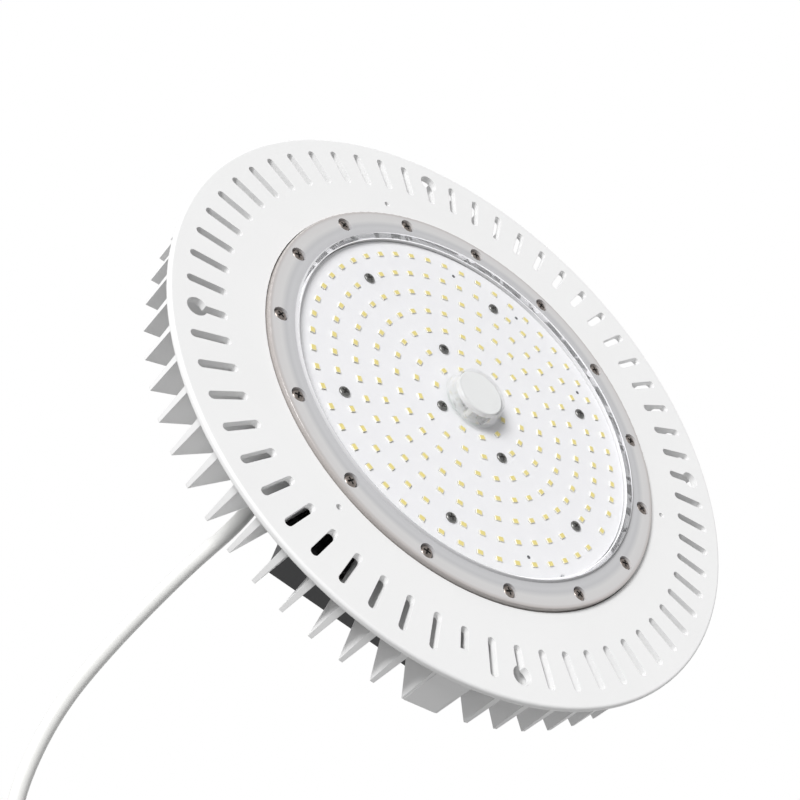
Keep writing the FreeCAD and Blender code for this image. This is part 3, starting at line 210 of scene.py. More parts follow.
def tinted(tree, shader, value, low, high, socket="Base Color"):
    """Let a pattern run a colour or a number of the shader between two ends."""
    if isinstance(low, str):
        mix = add_node(tree, "ShaderNodeMix", {0: value, 6: linear(low), 7: linear(high)},
                       data_type="RGBA")
        tree.links.new(mix.outputs[2], shader.inputs[socket])
    else:
        mix = add_node(tree, "ShaderNodeMapRange",
                       {"Value": value, "To Min": low, "To Max": high})
        tree.links.new(mix.outputs[0], shader.inputs[socket])


def blotches(tree, size):
    """A slow uneven pattern, its patches this many millimetres apart."""
    place = add_node(tree, "ShaderNodeTexCoord")
    return add_node(tree, "ShaderNodeTexNoise", {
        "Vector": place.outputs["Object"], "Scale": per_metre(size), "Detail": 3.0,
    }).outputs[0]


def powder_coated_casting(name):
    # Die-cast aluminium with white polyester powder coat, cured: an even satin white with a faint
    # orange peel of about 1.2 mm, and edges that the coat rounds by a few tenths of a millimetre.
    material, tree, shader = finish(name, linear("F0F0F0"), Roughness=0.42, IOR=1.5)
    tinted(tree, shader, blotches(tree, 60), "EEEEEE", "F3F3F3")
    tinted(tree, shader, blotches(tree, 9), 0.38, 0.47, "Roughness")
    grain(tree, shader, size=1.2, height=0.02, strength=0.35)
    rounding = add_node(tree, "ShaderNodeBevel", {"Radius": 0.35 * MM}, samples=4)
    bump = shader.inputs["Normal"].links[0].from_node
    tree.links.new(rounding.outputs[0], bump.inputs["Normal"])
    return material


def clear_polycarbonate(name):
    # Injection-moulded clear polycarbonate, IOR 1.585: the thin face and the dome are nearly
    # unseen but for their gloss. The thick rim and skirt pipe light along themselves; they are
    # drawn as grey satin bands round the face, painted shade and refraction, and their far walls
    # carry a painted glow.
    material, tree, shader = finish(name, linear("C4C4C5"), Roughness=0.22, IOR=1.585)
    place = add_node(tree, "ShaderNodeTexCoord").outputs["Object"]
    flat = add_node(tree, "ShaderNodeVectorMath", {0: place, 1: (1, 1, 0)}, operation="MULTIPLY")
    radius = add_node(tree, "ShaderNodeVectorMath", {0: flat.outputs[0]},
                      operation="LENGTH").outputs["Value"]
    height = add_node(tree, "ShaderNodeSeparateXYZ", {0: place}).outputs["Z"]

    # painted shade and refraction: the rim's grey bands by radius, with a painted shadow line at
    # its outer edge
    bands = ((106.0, "E6E6E7"), (108.4, "BEBEC0"), (111.5, "C6C6C8"), (113.6, "C0C0C2"),
             (116.5, "D2D1D1"), (120.5, "D0CECE"), (122.2, "BFBAB8"), (123.4, "9A9490"))
    low, high = 105.0, 125.0
    spread = add_node(tree, "ShaderNodeMapRange",
                      {"Value": radius, "From Min": low * MM, "From Max": high * MM})
    ramp = add_node(tree, "ShaderNodeValToRGB", {"Fac": spread.outputs[0]})
    stops = ramp.color_ramp.elements
    while len(stops) < len(bands):
        stops.new(1.0)
    for stop, (at, colour) in zip(stops, bands):
        stop.position = (at - low) / (high - low)
        stop.color = linear(colour)
    tree.links.new(ramp.outputs[0], shader.inputs["Base Color"])

    # each of these goes from 0 to 1 between its two radii or heights
    past = {}
    for edge, value, start, end in (
        ("skirt_inside", radius, 104.9, 105.3), ("skirt_front", height, -2.4, -2.0),
        ("rim_inside", radius, 107.1, 107.7),
        ("dome_inside", radius, 13.7, 14.2), ("dome_outside", radius, 16.6, 16.4),
    ):
        past[edge] = add_node(tree, "ShaderNodeMapRange", {
            "Value": value, "From Min": start * MM, "From Max": end * MM,
        }).outputs[0]

    # where the lens hides what is behind it: skirt, rim, and faintly the dome's wall seen end on
    dome_cover = 0.3
    skirt = add_node(tree, "ShaderNodeMath", {0: past["skirt_inside"], 1: past["skirt_front"]},
                     operation="MULTIPLY")
    solid = add_node(tree, "ShaderNodeMath", {0: skirt.outputs[0], 1: past["rim_inside"]},
                     operation="MAXIMUM")
    wall = add_node(tree, "ShaderNodeMath", {0: past["dome_inside"], 1: past["dome_outside"]},
                    operation="MULTIPLY")
    dome = add_node(tree, "ShaderNodeMath", {0: wall.outputs[0], 1: dome_cover},
                    operation="MULTIPLY")
    solid = add_node(tree, "ShaderNodeMath", {0: solid.outputs[0], 1: dome.outputs[0]},
                     operation="MAXIMUM")

    # painted light: the rim's far walls glow pale grey of their own when they are seen from inside
    # through the face, in place of the light piped round the rim
    inside = add_node(tree, "ShaderNodeNewGeometry").outputs["Backfacing"]
    shader.inputs["Emission Color"].default_value = linear("C2C2C4")
    tree.links.new(inside, shader.inputs["Emission Strength"])

    # gloss on the outer side only, stronger at a slant
    steepness, most, least = 5.0, 0.8, 0.04
    slant = add_node(tree, "ShaderNodeLayerWeight", {"Blend": 0.5}).outputs["Facing"]
    steep = add_node(tree, "ShaderNodeMath", {0: slant, 1: steepness}, operation="POWER")
    gloss = add_node(tree, "ShaderNodeMath", {0: steep.outputs[0], 1: most, 2: least},
                     operation="MULTIPLY_ADD")
    outer = add_node(tree, "ShaderNodeMath", {0: 1.0, 1: inside}, operation="SUBTRACT")
    sheen = add_node(tree, "ShaderNodeMath", {0: gloss.outputs[0], 1: outer.outputs[0]},
                     operation="MULTIPLY")
    cover = add_node(tree, "ShaderNodeMath", {0: solid.outputs[0], 1: sheen.outputs[0]},
                     operation="MAXIMUM")

    clear = add_node(tree, "ShaderNodeBsdfTransparent", {"Color": linear("FEFEFE")})
    shine = add_node(tree, "ShaderNodeBsdfGlossy", {"Color": linear("FFFFFF"), "Roughness": 0.04})
    body = add_node(tree, "ShaderNodeMixShader",
                    {0: solid.outputs[0], 1: shine.outputs[0], 2: shader.outputs[0]})
    both = add_node(tree, "ShaderNodeMixShader",
                    {0: cover.outputs[0], 1: clear.outputs[0], 2: body.outputs[0]})
    tree.links.new(both.outputs[0], tree.nodes["Material Output"].inputs["Surface"])
    return material


def silicone(name, colour):
    # Moulded silicone: matt, slightly waxy, with a very fine bloom.
    material, tree, shader = finish(name, linear(colour), Roughness=0.7, IOR=1.41,
                                    Sheen_Weight=0.15)
    value = grain(tree, shader, size=0.6, height=0.01, strength=0.4)
    tinted(tree, shader, value, 0.62, 0.78, "Roughness")
    return material


def screw_steel(name, dark, mid, light):
    # Steel, cold headed: a metal with a fine turned grain, darker and lighter in patches about
    # 1.5 mm apart.
    material, tree, shader = finish(name, linear(mid), Metallic=1.0, Roughness=0.32)
    value = grain(tree, shader, size=0.25, height=0.006, strength=0.5)
    tinted(tree, shader, value, 0.24, 0.44, "Roughness")
    tinted(tree, shader, blotches(tree, 1.5), dark, light)
    return material


def recess_shade(name):
    # The inside of a screw's cross recess: steel that light hardly gets into.
    material, tree, shader = finish(name, linear("3A3836"), Metallic=0.6, Roughness=0.6)
    value = grain(tree, shader, size=0.2, height=0.01, strength=0.4)
    tinted(tree, shader, value, "333130", "444240")
    return material


def zinc_plated_steel(name):
    # Bright zinc on steel: a cool grey metal with soft patches from the bath.
    material, tree, shader = finish(name, linear("B4B7BA"), Metallic=1.0, Roughness=0.38)
    tinted(tree, shader, blotches(tree, 6), "A6AAAE", "C2C4C6")
    value = grain(tree, shader, size=0.8, height=0.008, strength=0.35)
    tinted(tree, shader, value, 0.3, 0.46, "Roughness")
    return material


def solder_mask_white(name):
    # White epoxy solder mask over copper on an aluminium board: satin white with the copper's
    # soft relief under it, and a faint cool mottle.
    material, tree, shader = finish(name, linear("F7F7F9"), Roughness=0.38, IOR=1.52)
    copper_relief(tree, shader, size=7, edge=0.08, height=0.03, strength=0.25)
    tinted(tree, shader, blotches(tree, 14), "F5F5F8", "FAFAFC")
    return material


def led_body(name):
    # Moulded white polyester of the LED packages, satin, with a faint mould grain.
    material, tree, shader = finish(name, linear("EFEDE0"), Roughness=0.45, IOR=1.53)
    grain(tree, shader, size=0.2, height=0.004, strength=0.4)
    return material


def led_phosphor(name):
    # Yellow phosphor powder in clear silicone: a warm yellow under a smooth wet-looking face.
    material, tree, shader = finish(name, linear("EEDC8C"), Roughness=0.28, IOR=1.41)
    value = grain(tree, shader, size=0.3, height=0.004, strength=0.3)
    tinted(tree, shader, value, "EAD67A", "F4E8A0")
    return material


def frosted_cover(name):
    # Milky polycarbonate of the sensor's cover: pale grey, soft gloss, a little light passes.
    material, tree, shader = finish(name, linear("F0F1F1"), Roughness=0.3, IOR=1.58,
                                    Subsurface_Weight=0.2, Subsurface_Radius=(2 * MM,) * 3)
    tinted(tree, shader, blotches(tree, 9), "EEEFEF", "F3F4F4")
    grain(tree, shader, size=0.5, height=0.005, strength=0.3)
    return material


def circuit_laminate(name):
    # Green solder mask on glass-epoxy: glossy, the copper's edges a slightly lighter green.
    material, tree, shader = finish(name, linear("1F6B3A"), Roughness=0.3, IOR=1.55)
    copper = copper_relief(tree, shader, size=4, edge=0.12, height=0.035, strength=0.4)
    tinted(tree, shader, copper, "2C8449", "1B5E33")
    return material


def moulded_plastic(name, colour, light, roughness, size=0.5):
    # Injection-moulded plastic with a spark-eroded texture: a fine even grain that scatters the
    # gloss.
    material, tree, shader = finish(name, linear(colour), Roughness=roughness, IOR=1.5)
    value = grain(tree, shader, size=size, height=0.015, strength=0.45)
    tinted(tree, shader, value, roughness - 0.06, roughness + 0.08, "Roughness")
    tinted(tree, shader, blotches(tree, 20), colour, light)
    return material


def wire_insulation(name, colour, light):
    # Extruded PVC insulation: smooth, softly glossy, with slight waves along it.
    material, tree, shader = finish(name, linear(colour), Roughness=0.38, IOR=1.53)
    value = grain(tree, shader, size=1.5, height=0.02, strength=0.3)
    tinted(tree, shader, value, colour, light)
    return material


def earth_insulation(name):
    # Extruded PVC insulation, green and yellow in bands about 2.4 mm wide.
    material, tree, shader = finish(name, linear("3F8F2F"), Roughness=0.38, IOR=1.53)
    place = add_node(tree, "ShaderNodeTexCoord")
    wave = add_node(tree, "ShaderNodeTexWave", {
        "Vector": place.outputs["Object"], "Scale": per_metre(2.4 * math.tau), "Distortion": 0.4,
    }, bands_direction="X")
    step = add_node(tree, "ShaderNodeMapRange",
                    {"Value": wave.outputs["Fac"], "From Min": 0.45, "From Max": 0.55})
    tinted(tree, shader, step.outputs[0], "3F8F2F", "D8C820")
    grain(tree, shader, size=1.5, height=0.02, strength=0.3)
    return material


def anodised_extrusion(name):
    # Black anodised aluminium, extruded along the driver: fine die lines along its length, a dull
    # metal gloss.
    material, tree, shader = finish(name, linear("26272A"), Metallic=0.6, Roughness=0.48)
    place = add_node(tree, "ShaderNodeTexCoord")
    turned = add_node(tree, "ShaderNodeMapping", {
        "Vector": place.outputs["Object"], "Rotation": (0, 0, -DRIVER_TURN), "Scale": (0.02, 1, 1),
    })
    lines = add_node(tree, "ShaderNodeTexNoise",
                     {"Vector": turned.outputs[0], "Scale": per_metre(0.7), "Detail": 3.0})
    raised(tree, shader, lines.outputs[0], height=0.02, strength=0.4)
    tinted(tree, shader, lines.outputs[0], "202124", "303135")
    return material


def black_powder_coat(name):
    # Sheet steel with black powder coat: satin with a fine orange peel.
    material, tree, shader = finish(name, linear("1C1C1E"), Roughness=0.5, IOR=1.5)
    value = grain(tree, shader, size=0.9, height=0.02, strength=0.5)
    tinted(tree, shader, value, 0.42, 0.58, "Roughness")
    return material


def ferrite_and_foil(name):
    # Grey sintered ferrite and plain aluminium of the parts inside the driver.
    material, tree, shader = finish(name, linear("77797C"), Metallic=0.7, Roughness=0.45)
    value = grain(tree, shader, size=0.5, height=0.02, strength=0.4)
    tinted(tree, shader, value, "6B6D70", "85878A")
    return material


def tinned_copper(name):
    # Tinned copper ferrules: bright, slightly uneven from crimping.
    material, tree, shader = finish(name, linear("CFCFCB"), Metallic=1.0, Roughness=0.25)
    value = grain(tree, shader, size=0.6, height=0.03, strength=0.5)
    tinted(tree, shader, value, 0.2, 0.36, "Roughness")
    return material


def cable_sheath(name):
    # Extruded white PVC sheath of the mains lead: smooth satin, with the twist of its cores
    # faintly seen as long soft waves.
    material, tree, shader = finish(name, linear("EAEAE8"), Roughness=0.36, IOR=1.53,
                                    Subsurface_Weight=0.05, Subsurface_Radius=(MM,) * 3)
    grain(tree, shader, size=14, height=0.25, strength=0.4)
    tinted(tree, shader, blotches(tree, 25), "E6E6E4", "EEEEEC")
    return material


# what makes each finish: its function and what that takes after the name
FINISHES = {
    "powder_coated_casting": (powder_coated_casting,),
    "clear_polycarbonate": (clear_polycarbonate,),
    "grey_silicone": (silicone, "8F8F90"),
    "thermal_silicone": (silicone, "9AA0A6"),
    "lens_screw_steel": (screw_steel, "8A7B73", "A89A91", "D2CAC4"),
    "board_screw_steel": (screw_steel, "747472", "8C8C8A", "A4A4A2"),
    "recess_shade": (recess_shade,),
    "zinc_plated_steel": (zinc_plated_steel,),
    "solder_mask_white": (solder_mask_white,),
    # hole_shade: painted shade, a dark grey that stands for the shade inside the board's test
    # holes
    "hole_shade": (moulded_plastic, "55565A", "606166", 0.6),
    "led_body": (led_body,),
    "led_phosphor": (led_phosphor,),
    "tinned_copper": (tinned_copper,),
    "frosted_cover": (frosted_cover,),
    "circuit_laminate": (circuit_laminate,),
    "natural_nylon": (moulded_plastic, "E9E7DF", "EFEEE8", 0.45),
    "black_nylon": (moulded_plastic, "1B1B1C", "232324", 0.5),
    "gland_nylon": (moulded_plastic, "E6E6E2", "ECECE9", 0.4),
    "textured_abs": (moulded_plastic, "E4E4E1", "EAEAE7", 0.48, 0.7),
    "black_insulation": (wire_insulation, "151516", "1F1F20"),
    "red_insulation": (wire_insulation, "8E1512", "A31D18"),
    "brown_insulation": (wire_insulation, "5B3420", "6B4029"),
    "blue_insulation": (wire_insulation, "1F4FA8", "2B5FBC"),
    "earth_insulation": (earth_insulation,),
    "cable_sheath": (cable_sheath,),
    "anodised_extrusion": (anodised_extrusion,),
    "black_powder_coat": (black_powder_coat,),
    "ferrite_and_foil": (ferrite_and_foil,),
}


def material_for(name):
    """The material with this finish, made when it is first asked for."""
    material = bpy.data.materials.get(name)
    if material is None:
        make, *values = FINISHES[name]
        material = make(name, *values)
    return material


def dress(**finishes):
    """Give frame nodes their finishes, each node's name with its finish."""
    for name, finish_name in finishes.items():
        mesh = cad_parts[name].data
        mesh.materials.clear()
        mesh.materials.append(material_for(finish_name))


# ---------------------------------------------------------------- meshes

def add_object(name, data):
    """Put an object in the scene."""
    item = bpy.data.objects.new(name, data)
    bpy.context.scene.collection.objects.link(item)
    return item


def mesh_from(bm, name):
    """Turn what was built into a mesh."""
    mesh = bpy.data.meshes.new(name)
    bm.to_mesh(mesh)
    bm.free()
    return mesh


def new_piece(mesh, finishes, slot, *replaced):
    """Add a mesh as a piece that rides on the lamp and stands for frame nodes."""
    piece = add_object(mesh.name, mesh)
    for name in finishes:
        mesh.materials.append(material_for(name))
    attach(piece, "root")
    if replaced:
        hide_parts(*replaced)
    return piece


def lathe(bm, outline, segments, radius_at=None):
    """Turn (radius, height) points about Z; radius_at reshapes a radius by its turn and row."""
    rings = []
    for row, (radius, height) in enumerate(outline):
        ring = []
        for i in range(segments):
            turn = math.tau * i / segments
            r = radius_at(radius, turn, row) if radius_at else radius
            place = (r * MM * math.cos(turn), r * MM * math.sin(turn), height * MM)
            ring.append(bm.verts.new(place))
        rings.append(ring)
    for low, high in zip(rings, rings[1:]):
        for i in range(segments):
            j = (i + 1) % segments
            bm.faces.new((low[i], low[j], high[j], high[i])).smooth = True


def copies(name, proto, places):
    """One mesh made of a prototype set at many places."""
    bm = bmesh.new()
    for matrix in places:
        start = len(bm.verts)
        bm.from_mesh(proto)
        bm.verts.ensure_lookup_table()
        bmesh.ops.transform(bm, matrix=matrix, verts=bm.verts[start:])
    return mesh_from(bm, name)


def rounded_rectangle(length, width, radius, steps=3):
    """Corner points of a rectangle with round corners, centred, in millimetres."""
    points = []
    for turn, sx, sy in ((0, 1, 1), (90, -1, 1), (180, -1, -1), (270, 1, -1)):
        for i in range(steps + 1):
            angle = math.radians(turn + 90 * i / steps)
            points.append((sx * (length / 2 - radius) + radius * math.cos(angle),
                           sy * (width / 2 - radius) + radius * math.sin(angle)))
    return points


def loop_stack(bm, loops, material=0, cap=True):
    """Faces between closed loops with equal counts, and a cap on the last."""
    rows = [[bm.verts.new(Vector(point) * MM) for point in loop] for loop in loops]
    count = len(rows[0])
    for low, high in zip(rows, rows[1:]):
        for i in range(count):
            j = (i + 1) % count
            bm.faces.new((low[i], low[j], high[j], high[i])).material_index = material
    if cap:
        bm.faces.new(rows[-1]).material_index = material
    return rows


def led_package(length, width, height):
    """One surface-mount LED: a white body with solder feet and a cup of phosphor facing -Z."""
    bm = bmesh.new()
    # length, width, corner radius and height of each level
    cup = (length - 0.36, width - 0.32, 0.35, -height + 0.05)
    body = ((length, width, 0.15, 0), (length, width, 0.15, -height + 0.08),
            (length - 0.16, width - 0.16, 0.15, -height),
            (length - 0.3, width - 0.26, 0.35, -height), cup)
    phosphor = (cup, (length - 1.0, width - 0.8, 0.3, -height + 0.02),
                (length - 2.2, width - 1.8, 0.12, -height + 0.02))
    for material, levels, cap in ((0, body, False), (1, phosphor, True)):
        loops = [[(x, y, z) for x, y in rounded_rectangle(a, b, r)] for a, b, r, z in levels]
        loop_stack(bm, loops, material, cap)
    foot_length, foot_past_body, foot_height = 0.5, 0.1, 0.12
    for side in (-1, 1):
        middle = side * (length / 2 + foot_past_body)
        foot = rounded_rectangle(foot_length, width - 0.5, radius=0.08, steps=1)
        loops = [[(middle + x, y, z) for x, y in foot] for z in (0, -foot_height)]
        loop_stack(bm, loops, material=2)
    bmesh.ops.recalc_face_normals(bm, faces=bm.faces)
    return mesh_from(bm, "led_package")


def screw_blank(shank, length, head, height):
    """The turned form of a pan-head screw, before its recess."""
    bm = bmesh.new()
    near_axis = 0.02
    outline = [(near_axis, length), (0.6 * shank, length), (shank, length - 0.5 * shank)]
    threads = max(3, int(length / THREAD_PITCH))
    for i in range(threads):
        z = (length - 0.6 * shank) * (1 - i / threads)
        outline += [(shank, z), (THREAD_CORE * shank, z - 0.35 * length / threads)]
    outline += [(shank, 0.15), (shank, 0)]
    outline += [(head * across, -height * up) for across, up in PAN_HEAD]
    outline.append((near_axis, -height))
    lathe(bm, outline, segments=32)
    bmesh.ops.remove_doubles(bm, verts=bm.verts, dist=0.03 * MM)
    bmesh.ops.holes_fill(bm, edges=[e for e in bm.edges if e.is_boundary], sides=0)
    bmesh.ops.recalc_face_normals(bm, faces=bm.faces)
    return mesh_from(bm, "screw")


def recess_tool(head, height):
    """The tapered cross that is cut out of a screw's head."""
    bm = bmesh.new()
    arm, wing, top = RECESS_ARM * head, RECESS_WING * head, -height
    foot_arm, foot_wing = RECESS_FOOT[0] * arm, RECESS_FOOT[1] * wing
    levels = ((arm, wing, top - 0.2), (arm, wing, top),
              (foot_arm, foot_wing, top + RECESS_DEPTH * height))
    corners = ((1, 1), (-1, 1), (-1, -1), (1, -1))
    for turn in (0, 90):
        spin = Matrix.Rotation(math.radians(turn), 3, "Z")
        rows = loop_stack(bm, [
            [spin @ Vector((x * sx, y * sy, z)) for sx, sy in corners] for x, y, z in levels
        ])
        bm.faces.new(list(reversed(rows[0])))
    bmesh.ops.recalc_face_normals(bm, faces=bm.faces)
    return mesh_from(bm, "recess")


def cross_head_screw(shank, length, head, height):
    """A pan-head screw with a tapered cross recess; its seat is at the origin, its head at -Z."""
    blank = add_object("blank", screw_blank(shank, length, head, height))
    tool = add_object("tool", recess_tool(head, height))
    cut = blank.modifiers.new("cut", "BOOLEAN")
    cut.operation, cut.object, cut.solver, cut.use_self = "DIFFERENCE", tool, "EXACT", True
    graph = bpy.context.evaluated_depsgraph_get()
    result = bpy.data.meshes.new_from_object(blank.evaluated_get(graph))
    for item in (blank, tool):
        bpy.data.objects.remove(item)
    # the recess's faces lie within its arms, below the head's top and above its seat
    for face in result.polygons:
        x, y, z = face.center
        within = math.hypot(x, y) < (RECESS_ARM + 0.02) * head * MM
        sunk = within and (-height + 0.06 * height) * MM < z < -0.05 * MM
        face.material_index = 1 if sunk else 0
    result.set_sharp_from_angle(angle=math.radians(35))
    return result


def set_screws(name, sizes, points, steel, replaced):
    """Screws at points, each turned by its own amount about its axis."""
    places = []
    for i, point in enumerate(points):
        turn = Matrix.Rotation(math.radians(SCREW_TURN * i % 90), 4, "Z")
        places.append(Matrix.Translation(point) @ turn)
    mesh = copies(name, cross_head_screw(**sizes), places)
    new_piece(mesh, (steel, "recess_shade"), "screw_steel", replaced)


# ---------------------------------------------------------------- what a user may change

class HighBaySizes(bpy.types.PropertyGroup):
    """Sizes of the fine pieces"""
    led_length: bpy.props.FloatProperty(
        name="LED length", description="Along its ring",
        default=3.5 * MM, min=1 * MM, unit="LENGTH")
    led_width: bpy.props.FloatProperty(
        name="LED width", description="Across its ring",
        default=2.8 * MM, min=1 * MM, unit="LENGTH")
    led_height: bpy.props.FloatProperty(
        name="LED height", description="In front of the board",
        default=0.7 * MM, unit="LENGTH")
    lead_diameter: bpy.props.FloatProperty(
        name="Lead diameter", description="Outside of the mains lead's sheath",
        default=7.7 * MM, unit="LENGTH")


class HighBayStage(bpy.types.PropertyGroup):
    """Light and floor"""
    ambient: bpy.props.FloatProperty(
        name="Ambient light", description="Strength of the even light from all round",
        default=0.38, min=0)
    key: bpy.props.FloatProperty(
        name="Key light", description="Strength of the soft light from in front and below",
        default=3.2, min=0)
    floor_colour: bpy.props.FloatVectorProperty(
        name="Floor colour", description="Colour of the floor",
        subtype="COLOR", default=linear("F4F4F4")[:3])


# ---------------------------------------------------------------- one operator for each group

class HIGHBAY_OT_casting(bpy.types.Operator):
    """Finish the finned casting"""
    bl_idname = "highbay.casting"
    bl_label = "Casting"

    def execute(self, context):
        dress(heat_sink="powder_coated_casting")
        return {"FINISHED"}


class HIGHBAY_OT_lens(bpy.types.Operator):
    """Finish the clear lens and its seal, and set its screws"""
    bl_idname = "highbay.lens"
    bl_label = "Lens"

    def execute(self, context):
        dress(lens="clear_polycarbonate", lens_seal="grey_silicone")
        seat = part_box("lens_screws")[0].z + LENS_SCREW["height"] * MM
        points = [
            polar(LENS_SCREW_CIRCLE, LENS_SCREW_TURN + 360 * i / LENS_SCREWS)
            + Vector((0, 0, seat))
            for i in range(LENS_SCREWS)
        ]
        set_screws("lens_pan_screws", LENS_SCREW, points, "lens_screw_steel", "lens_screws")
        return {"FINISHED"}


class HIGHBAY_OT_board(bpy.types.Operator):
    """Finish the LED board, set its LEDs, screws and test holes"""
    bl_idname = "highbay.board"
    bl_label = "LED board"

    def execute(self, context):
        dress(thermal_pad="thermal_silicone", led_board="solder_mask_white")
        front = Vector((0, 0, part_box("led_board")[0].z))
        sizes = context.scene.highbay_sizes
        proto = led_package(sizes.led_length / MM, sizes.led_width / MM, sizes.led_height / MM)
        leds = [LONE_LED]
        for ring, count, start, free in LED_RINGS:
            leds += [(ring, start + 360 * i / count) for i in range(count) if i not in free]
        for ring, start, count, step in LED_RUNS:
            leds += [(ring, start + step * i) for i in range(count)]
        places = [
            Matrix.Translation(ring_place(ring, turn) + front)
            @ Matrix.Rotation(math.radians(turn + 90), 4, "Z")
            for ring, turn in leds
        ]
        new_piece(copies("led_packages", proto, places),
                  ("led_body", "led_phosphor", "tinned_copper"), "led_yellow", "led_chips")

        points = [ring_place(ring, turn) + front for ring, turn in BOARD_SCREW_PLACES]
        set_screws("board_pan_screws", BOARD_SCREW, points, "board_screw_steel", "board_screws")

        # the test holes: shallow dark cups on the board's face, painted shade in the holes
        bm = bmesh.new()
        for turn in TEST_HOLE_TURNS:
            start = len(bm.verts)
            lathe(bm, TEST_HOLE_OUTLINE, segments=20)
            bm.verts.ensure_lookup_table()
            bmesh.ops.translate(bm, verts=bm.verts[start:],
                                vec=polar(TEST_HOLE_CIRCLE, turn) + front)
        new_piece(mesh_from(bm, "board_test_holes"), ("hole_shade",), "plastic_black")
        return {"FINISHED"}


class HIGHBAY_OT_sensor(bpy.types.Operator):
    """Finish the sensor in the lens's dome, its connector and wires"""
    bl_idname = "highbay.sensor"
    bl_label = "Sensor"

    def execute(self, context):
        dress(sensor_cover="frosted_cover", sensor_board="circuit_laminate",
              sensor_posts="natural_nylon", board_connector="black_nylon",
              sensor_wires="black_insulation", led_wires="red_insulation",
              hub_grommet="grey_silicone")
        return {"FINISHED"}


class HIGHBAY_OT_driver(bpy.types.Operator):
    """Finish the driver, its tray and what it holds"""
    bl_idname = "highbay.driver"
    bl_label = "Driver"

    def execute(self, context):
        dress(driver_tray="black_powder_coat", driver_case="anodised_extrusion",
              driver_front_cap="black_powder_coat", driver_rear_cap="black_powder_coat",
              tray_screws="zinc_plated_steel", foot_screws="zinc_plated_steel",
              cap_screws="zinc_plated_steel", driver_board="circuit_laminate",
              driver_standoffs="natural_nylon", transformer="ferrite_and_foil",
              choke="ferrite_and_foil", capacitors="black_nylon",
              heat_spreader="ferrite_and_foil")
        return {"FINISHED"}


class HIGHBAY_OT_terminal(bpy.types.Operator):
    """Finish the terminal box, its bracket and wires"""
    bl_idname = "highbay.terminal"
    bl_label = "Terminal box"

    def execute(self, context):
        dress(terminal_bracket="zinc_plated_steel", terminal_box="textured_abs",
              terminal_lid_seal="grey_silicone", terminal_lid="textured_abs",
              lid_screws="zinc_plated_steel", terminal_block="natural_nylon",
              link_wires="black_insulation")
        return {"FINISHED"}


class HIGHBAY_OT_lead(bpy.types.Operator):
    """Lay the mains lead from the gland, finish its cores, and make the gland's ribbed nut"""
    bl_idname = "highbay.lead"
    bl_label = "Gland and lead"

    def execute(self, context):
        dress(gland_body="gland_nylon", gland_locknut="gland_nylon", gland_seal="grey_silicone",
              inner_lead="cable_sheath", core_brown="brown_insulation",
              inner_cores="brown_insulation", core_blue="blue_insulation",
              core_earth="earth_insulation", ferrules="tinned_copper")

        def grooved(radius, turn, row):
            if row in NUT_GROOVED_ROWS:
                return radius - NUT_GROOVE_DEPTH * max(0.0, math.cos(NUT_GROOVES * turn)) ** 3
            return radius

        bm = bmesh.new()
        lathe(bm, GLAND_NUT_OUTLINE, segments=96, radius_at=grooved)
        bmesh.ops.recalc_face_normals(bm, faces=bm.faces)
        foot = Matrix.Translation(on_driver(*GLAND_NUT_FOOT))
        outwards = (Matrix.Rotation(DRIVER_TURN, 4, "Z")
                    @ Matrix.Rotation(-math.pi / 2, 4, "Y"))
        bmesh.ops.transform(bm, matrix=foot @ outwards, verts=bm.verts)
        mesh = mesh_from(bm, "gland_ribbed_nut")
        mesh.set_sharp_from_angle(angle=math.radians(40))
        nut = new_piece(mesh, ("gland_nylon",), "gland_white", "gland_nut")

        curve = bpy.data.curves.new("lead_curve", "CURVE")
        curve.dimensions = "3D"
        spline = curve.splines.new("NURBS")
        spline.points.add(len(LEAD_ROUTE) - 1)
        for point, place in zip(spline.points, LEAD_ROUTE):
            point.co = (*place, 1)
        spline.order_u = 3
        spline.use_endpoint_u = True
        spline.resolution_u = 12
        curve.bevel_depth = context.scene.highbay_sizes.lead_diameter / 2
        curve.bevel_resolution = 8
        curve.use_fill_caps = True
        lead = add_object("lead_sheath", curve)
        curve.materials.append(material_for("cable_sheath"))
        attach(lead, "root")
        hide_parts("mains_lead")
        return {"FINISHED"}


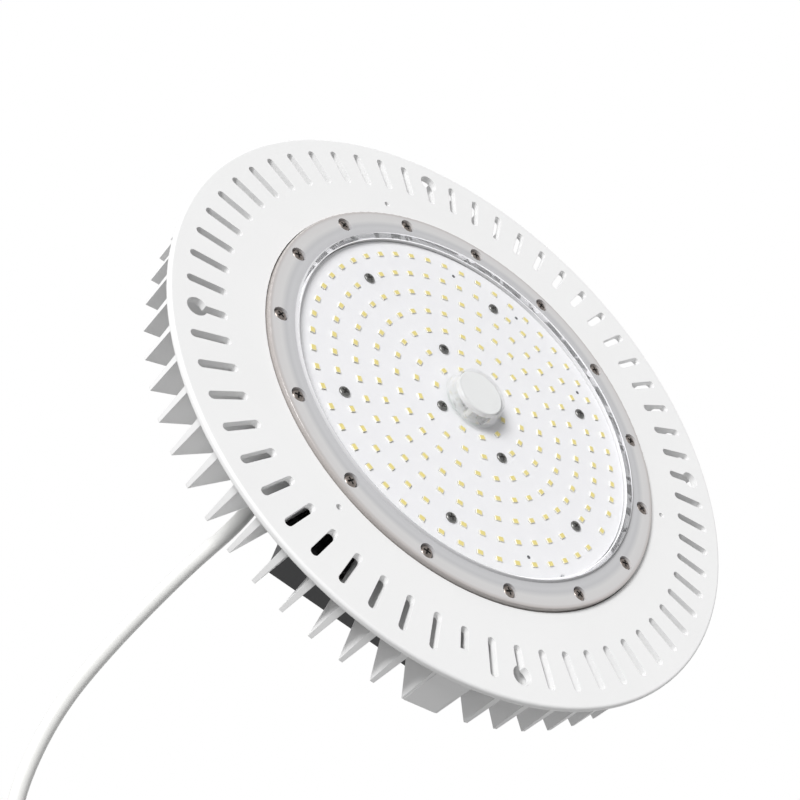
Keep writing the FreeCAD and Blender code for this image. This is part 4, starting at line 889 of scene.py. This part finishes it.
class HIGHBAY_OT_stage(bpy.types.Operator):
    """Set the floor, the soft lights and the camera"""
    bl_idname = "highbay.stage"
    bl_label = "Stage"

    def execute(self, context):
        stage = context.scene.highbay_stage
        camera = add_object("camera", bpy.data.cameras.new("camera"))
        camera.data.lens, camera.data.sensor_width = CAMERA_LENS, CAMERA_SENSOR
        camera.data.shift_x, camera.data.shift_y = CAMERA_SHIFT
        camera.data.clip_start, camera.data.clip_end = CAMERA_CLIP
        camera.location = CAMERA_PLACE
        camera.rotation_euler = [math.radians(turn) for turn in CAMERA_TURNS]
        context.scene.camera = camera

        lamp = add_object("key_light", bpy.data.lights.new("key_light", "SUN"))
        lamp.data.angle = math.radians(KEY_SPREAD)
        lamp.data.energy = stage.key
        lamp.location = KEY_PLACE
        lamp.rotation_mode = "QUATERNION"
        lamp.rotation_quaternion = (-lamp.location).to_track_quat("-Z", "Y")

        bm = bmesh.new()
        bmesh.ops.create_grid(bm, x_segments=2, y_segments=2, size=FLOOR_REACH)
        floor = add_object("floor", mesh_from(bm, "floor"))
        floor.location.z = FLOOR_HEIGHT
        floor.visible_shadow = False  # the key light shines up from below it
        # painted floor: an even satin paint with a faint roller grain
        material, tree, shader = finish("painted_floor", (*stage.floor_colour, 1), Roughness=0.6)
        grain(tree, shader, size=3, height=0.02, strength=0.2)
        floor.data.materials.append(material)

        # the camera, gloss and clear pieces see white all round; the lamp is lit by less
        world = bpy.data.worlds.new("studio")
        context.scene.world = world
        world.use_nodes = True
        tree = world.node_tree
        tree.nodes.clear()
        path = add_node(tree, "ShaderNodeLightPath")
        seen = path.outputs["Is Camera Ray"]
        for ray in ("Is Transmission Ray", "Is Glossy Ray"):
            seen = add_node(tree, "ShaderNodeMath", {0: seen, 1: path.outputs[ray]},
                            operation="MAXIMUM").outputs[0]
        level = add_node(tree, "ShaderNodeMapRange",
                         {"Value": seen, "To Min": stage.ambient, "To Max": 1.0})
        light = add_node(tree, "ShaderNodeBackground",
                         {"Color": (1, 1, 1, 1), "Strength": level.outputs[0]})
        add_node(tree, "ShaderNodeOutputWorld", {"Surface": light.outputs[0]})
        context.scene.view_settings.view_transform = "Standard"
        return {"FINISHED"}


OPERATORS = (
    HIGHBAY_OT_casting, HIGHBAY_OT_lens, HIGHBAY_OT_board, HIGHBAY_OT_sensor,
    HIGHBAY_OT_driver, HIGHBAY_OT_terminal, HIGHBAY_OT_lead, HIGHBAY_OT_stage,
)


class HIGHBAY_PT_panel(bpy.types.Panel):
    """Lists the pieces, the stage and their values"""
    bl_label = "High bay light"
    bl_idname = "HIGHBAY_PT_panel"
    bl_space_type = "VIEW_3D"
    bl_region_type = "UI"
    bl_category = "High bay"

    def draw(self, context):
        layout = self.layout
        for group in (context.scene.highbay_sizes, context.scene.highbay_stage):
            for name in group.bl_rna.properties.keys():
                if name not in ("rna_type", "name"):
                    layout.prop(group, name)
        for operator in OPERATORS:
            layout.operator(operator.bl_idname)


CLASSES = (HighBaySizes, HighBayStage, *OPERATORS, HIGHBAY_PT_panel)


def register():
    for item in CLASSES:
        bpy.utils.register_class(item)
    bpy.types.Scene.highbay_sizes = bpy.props.PointerProperty(type=HighBaySizes)
    bpy.types.Scene.highbay_stage = bpy.props.PointerProperty(type=HighBayStage)


def unregister():
    del bpy.types.Scene.highbay_sizes
    del bpy.types.Scene.highbay_stage
    for item in reversed(CLASSES):
        bpy.utils.unregister_class(item)


def main():
    """Make the pieces and the stage"""
    register()
    for operator in OPERATORS:
        area, name = operator.bl_idname.split(".")
        getattr(getattr(bpy.ops, area), name)()


if __name__ == "__main__":
    main()
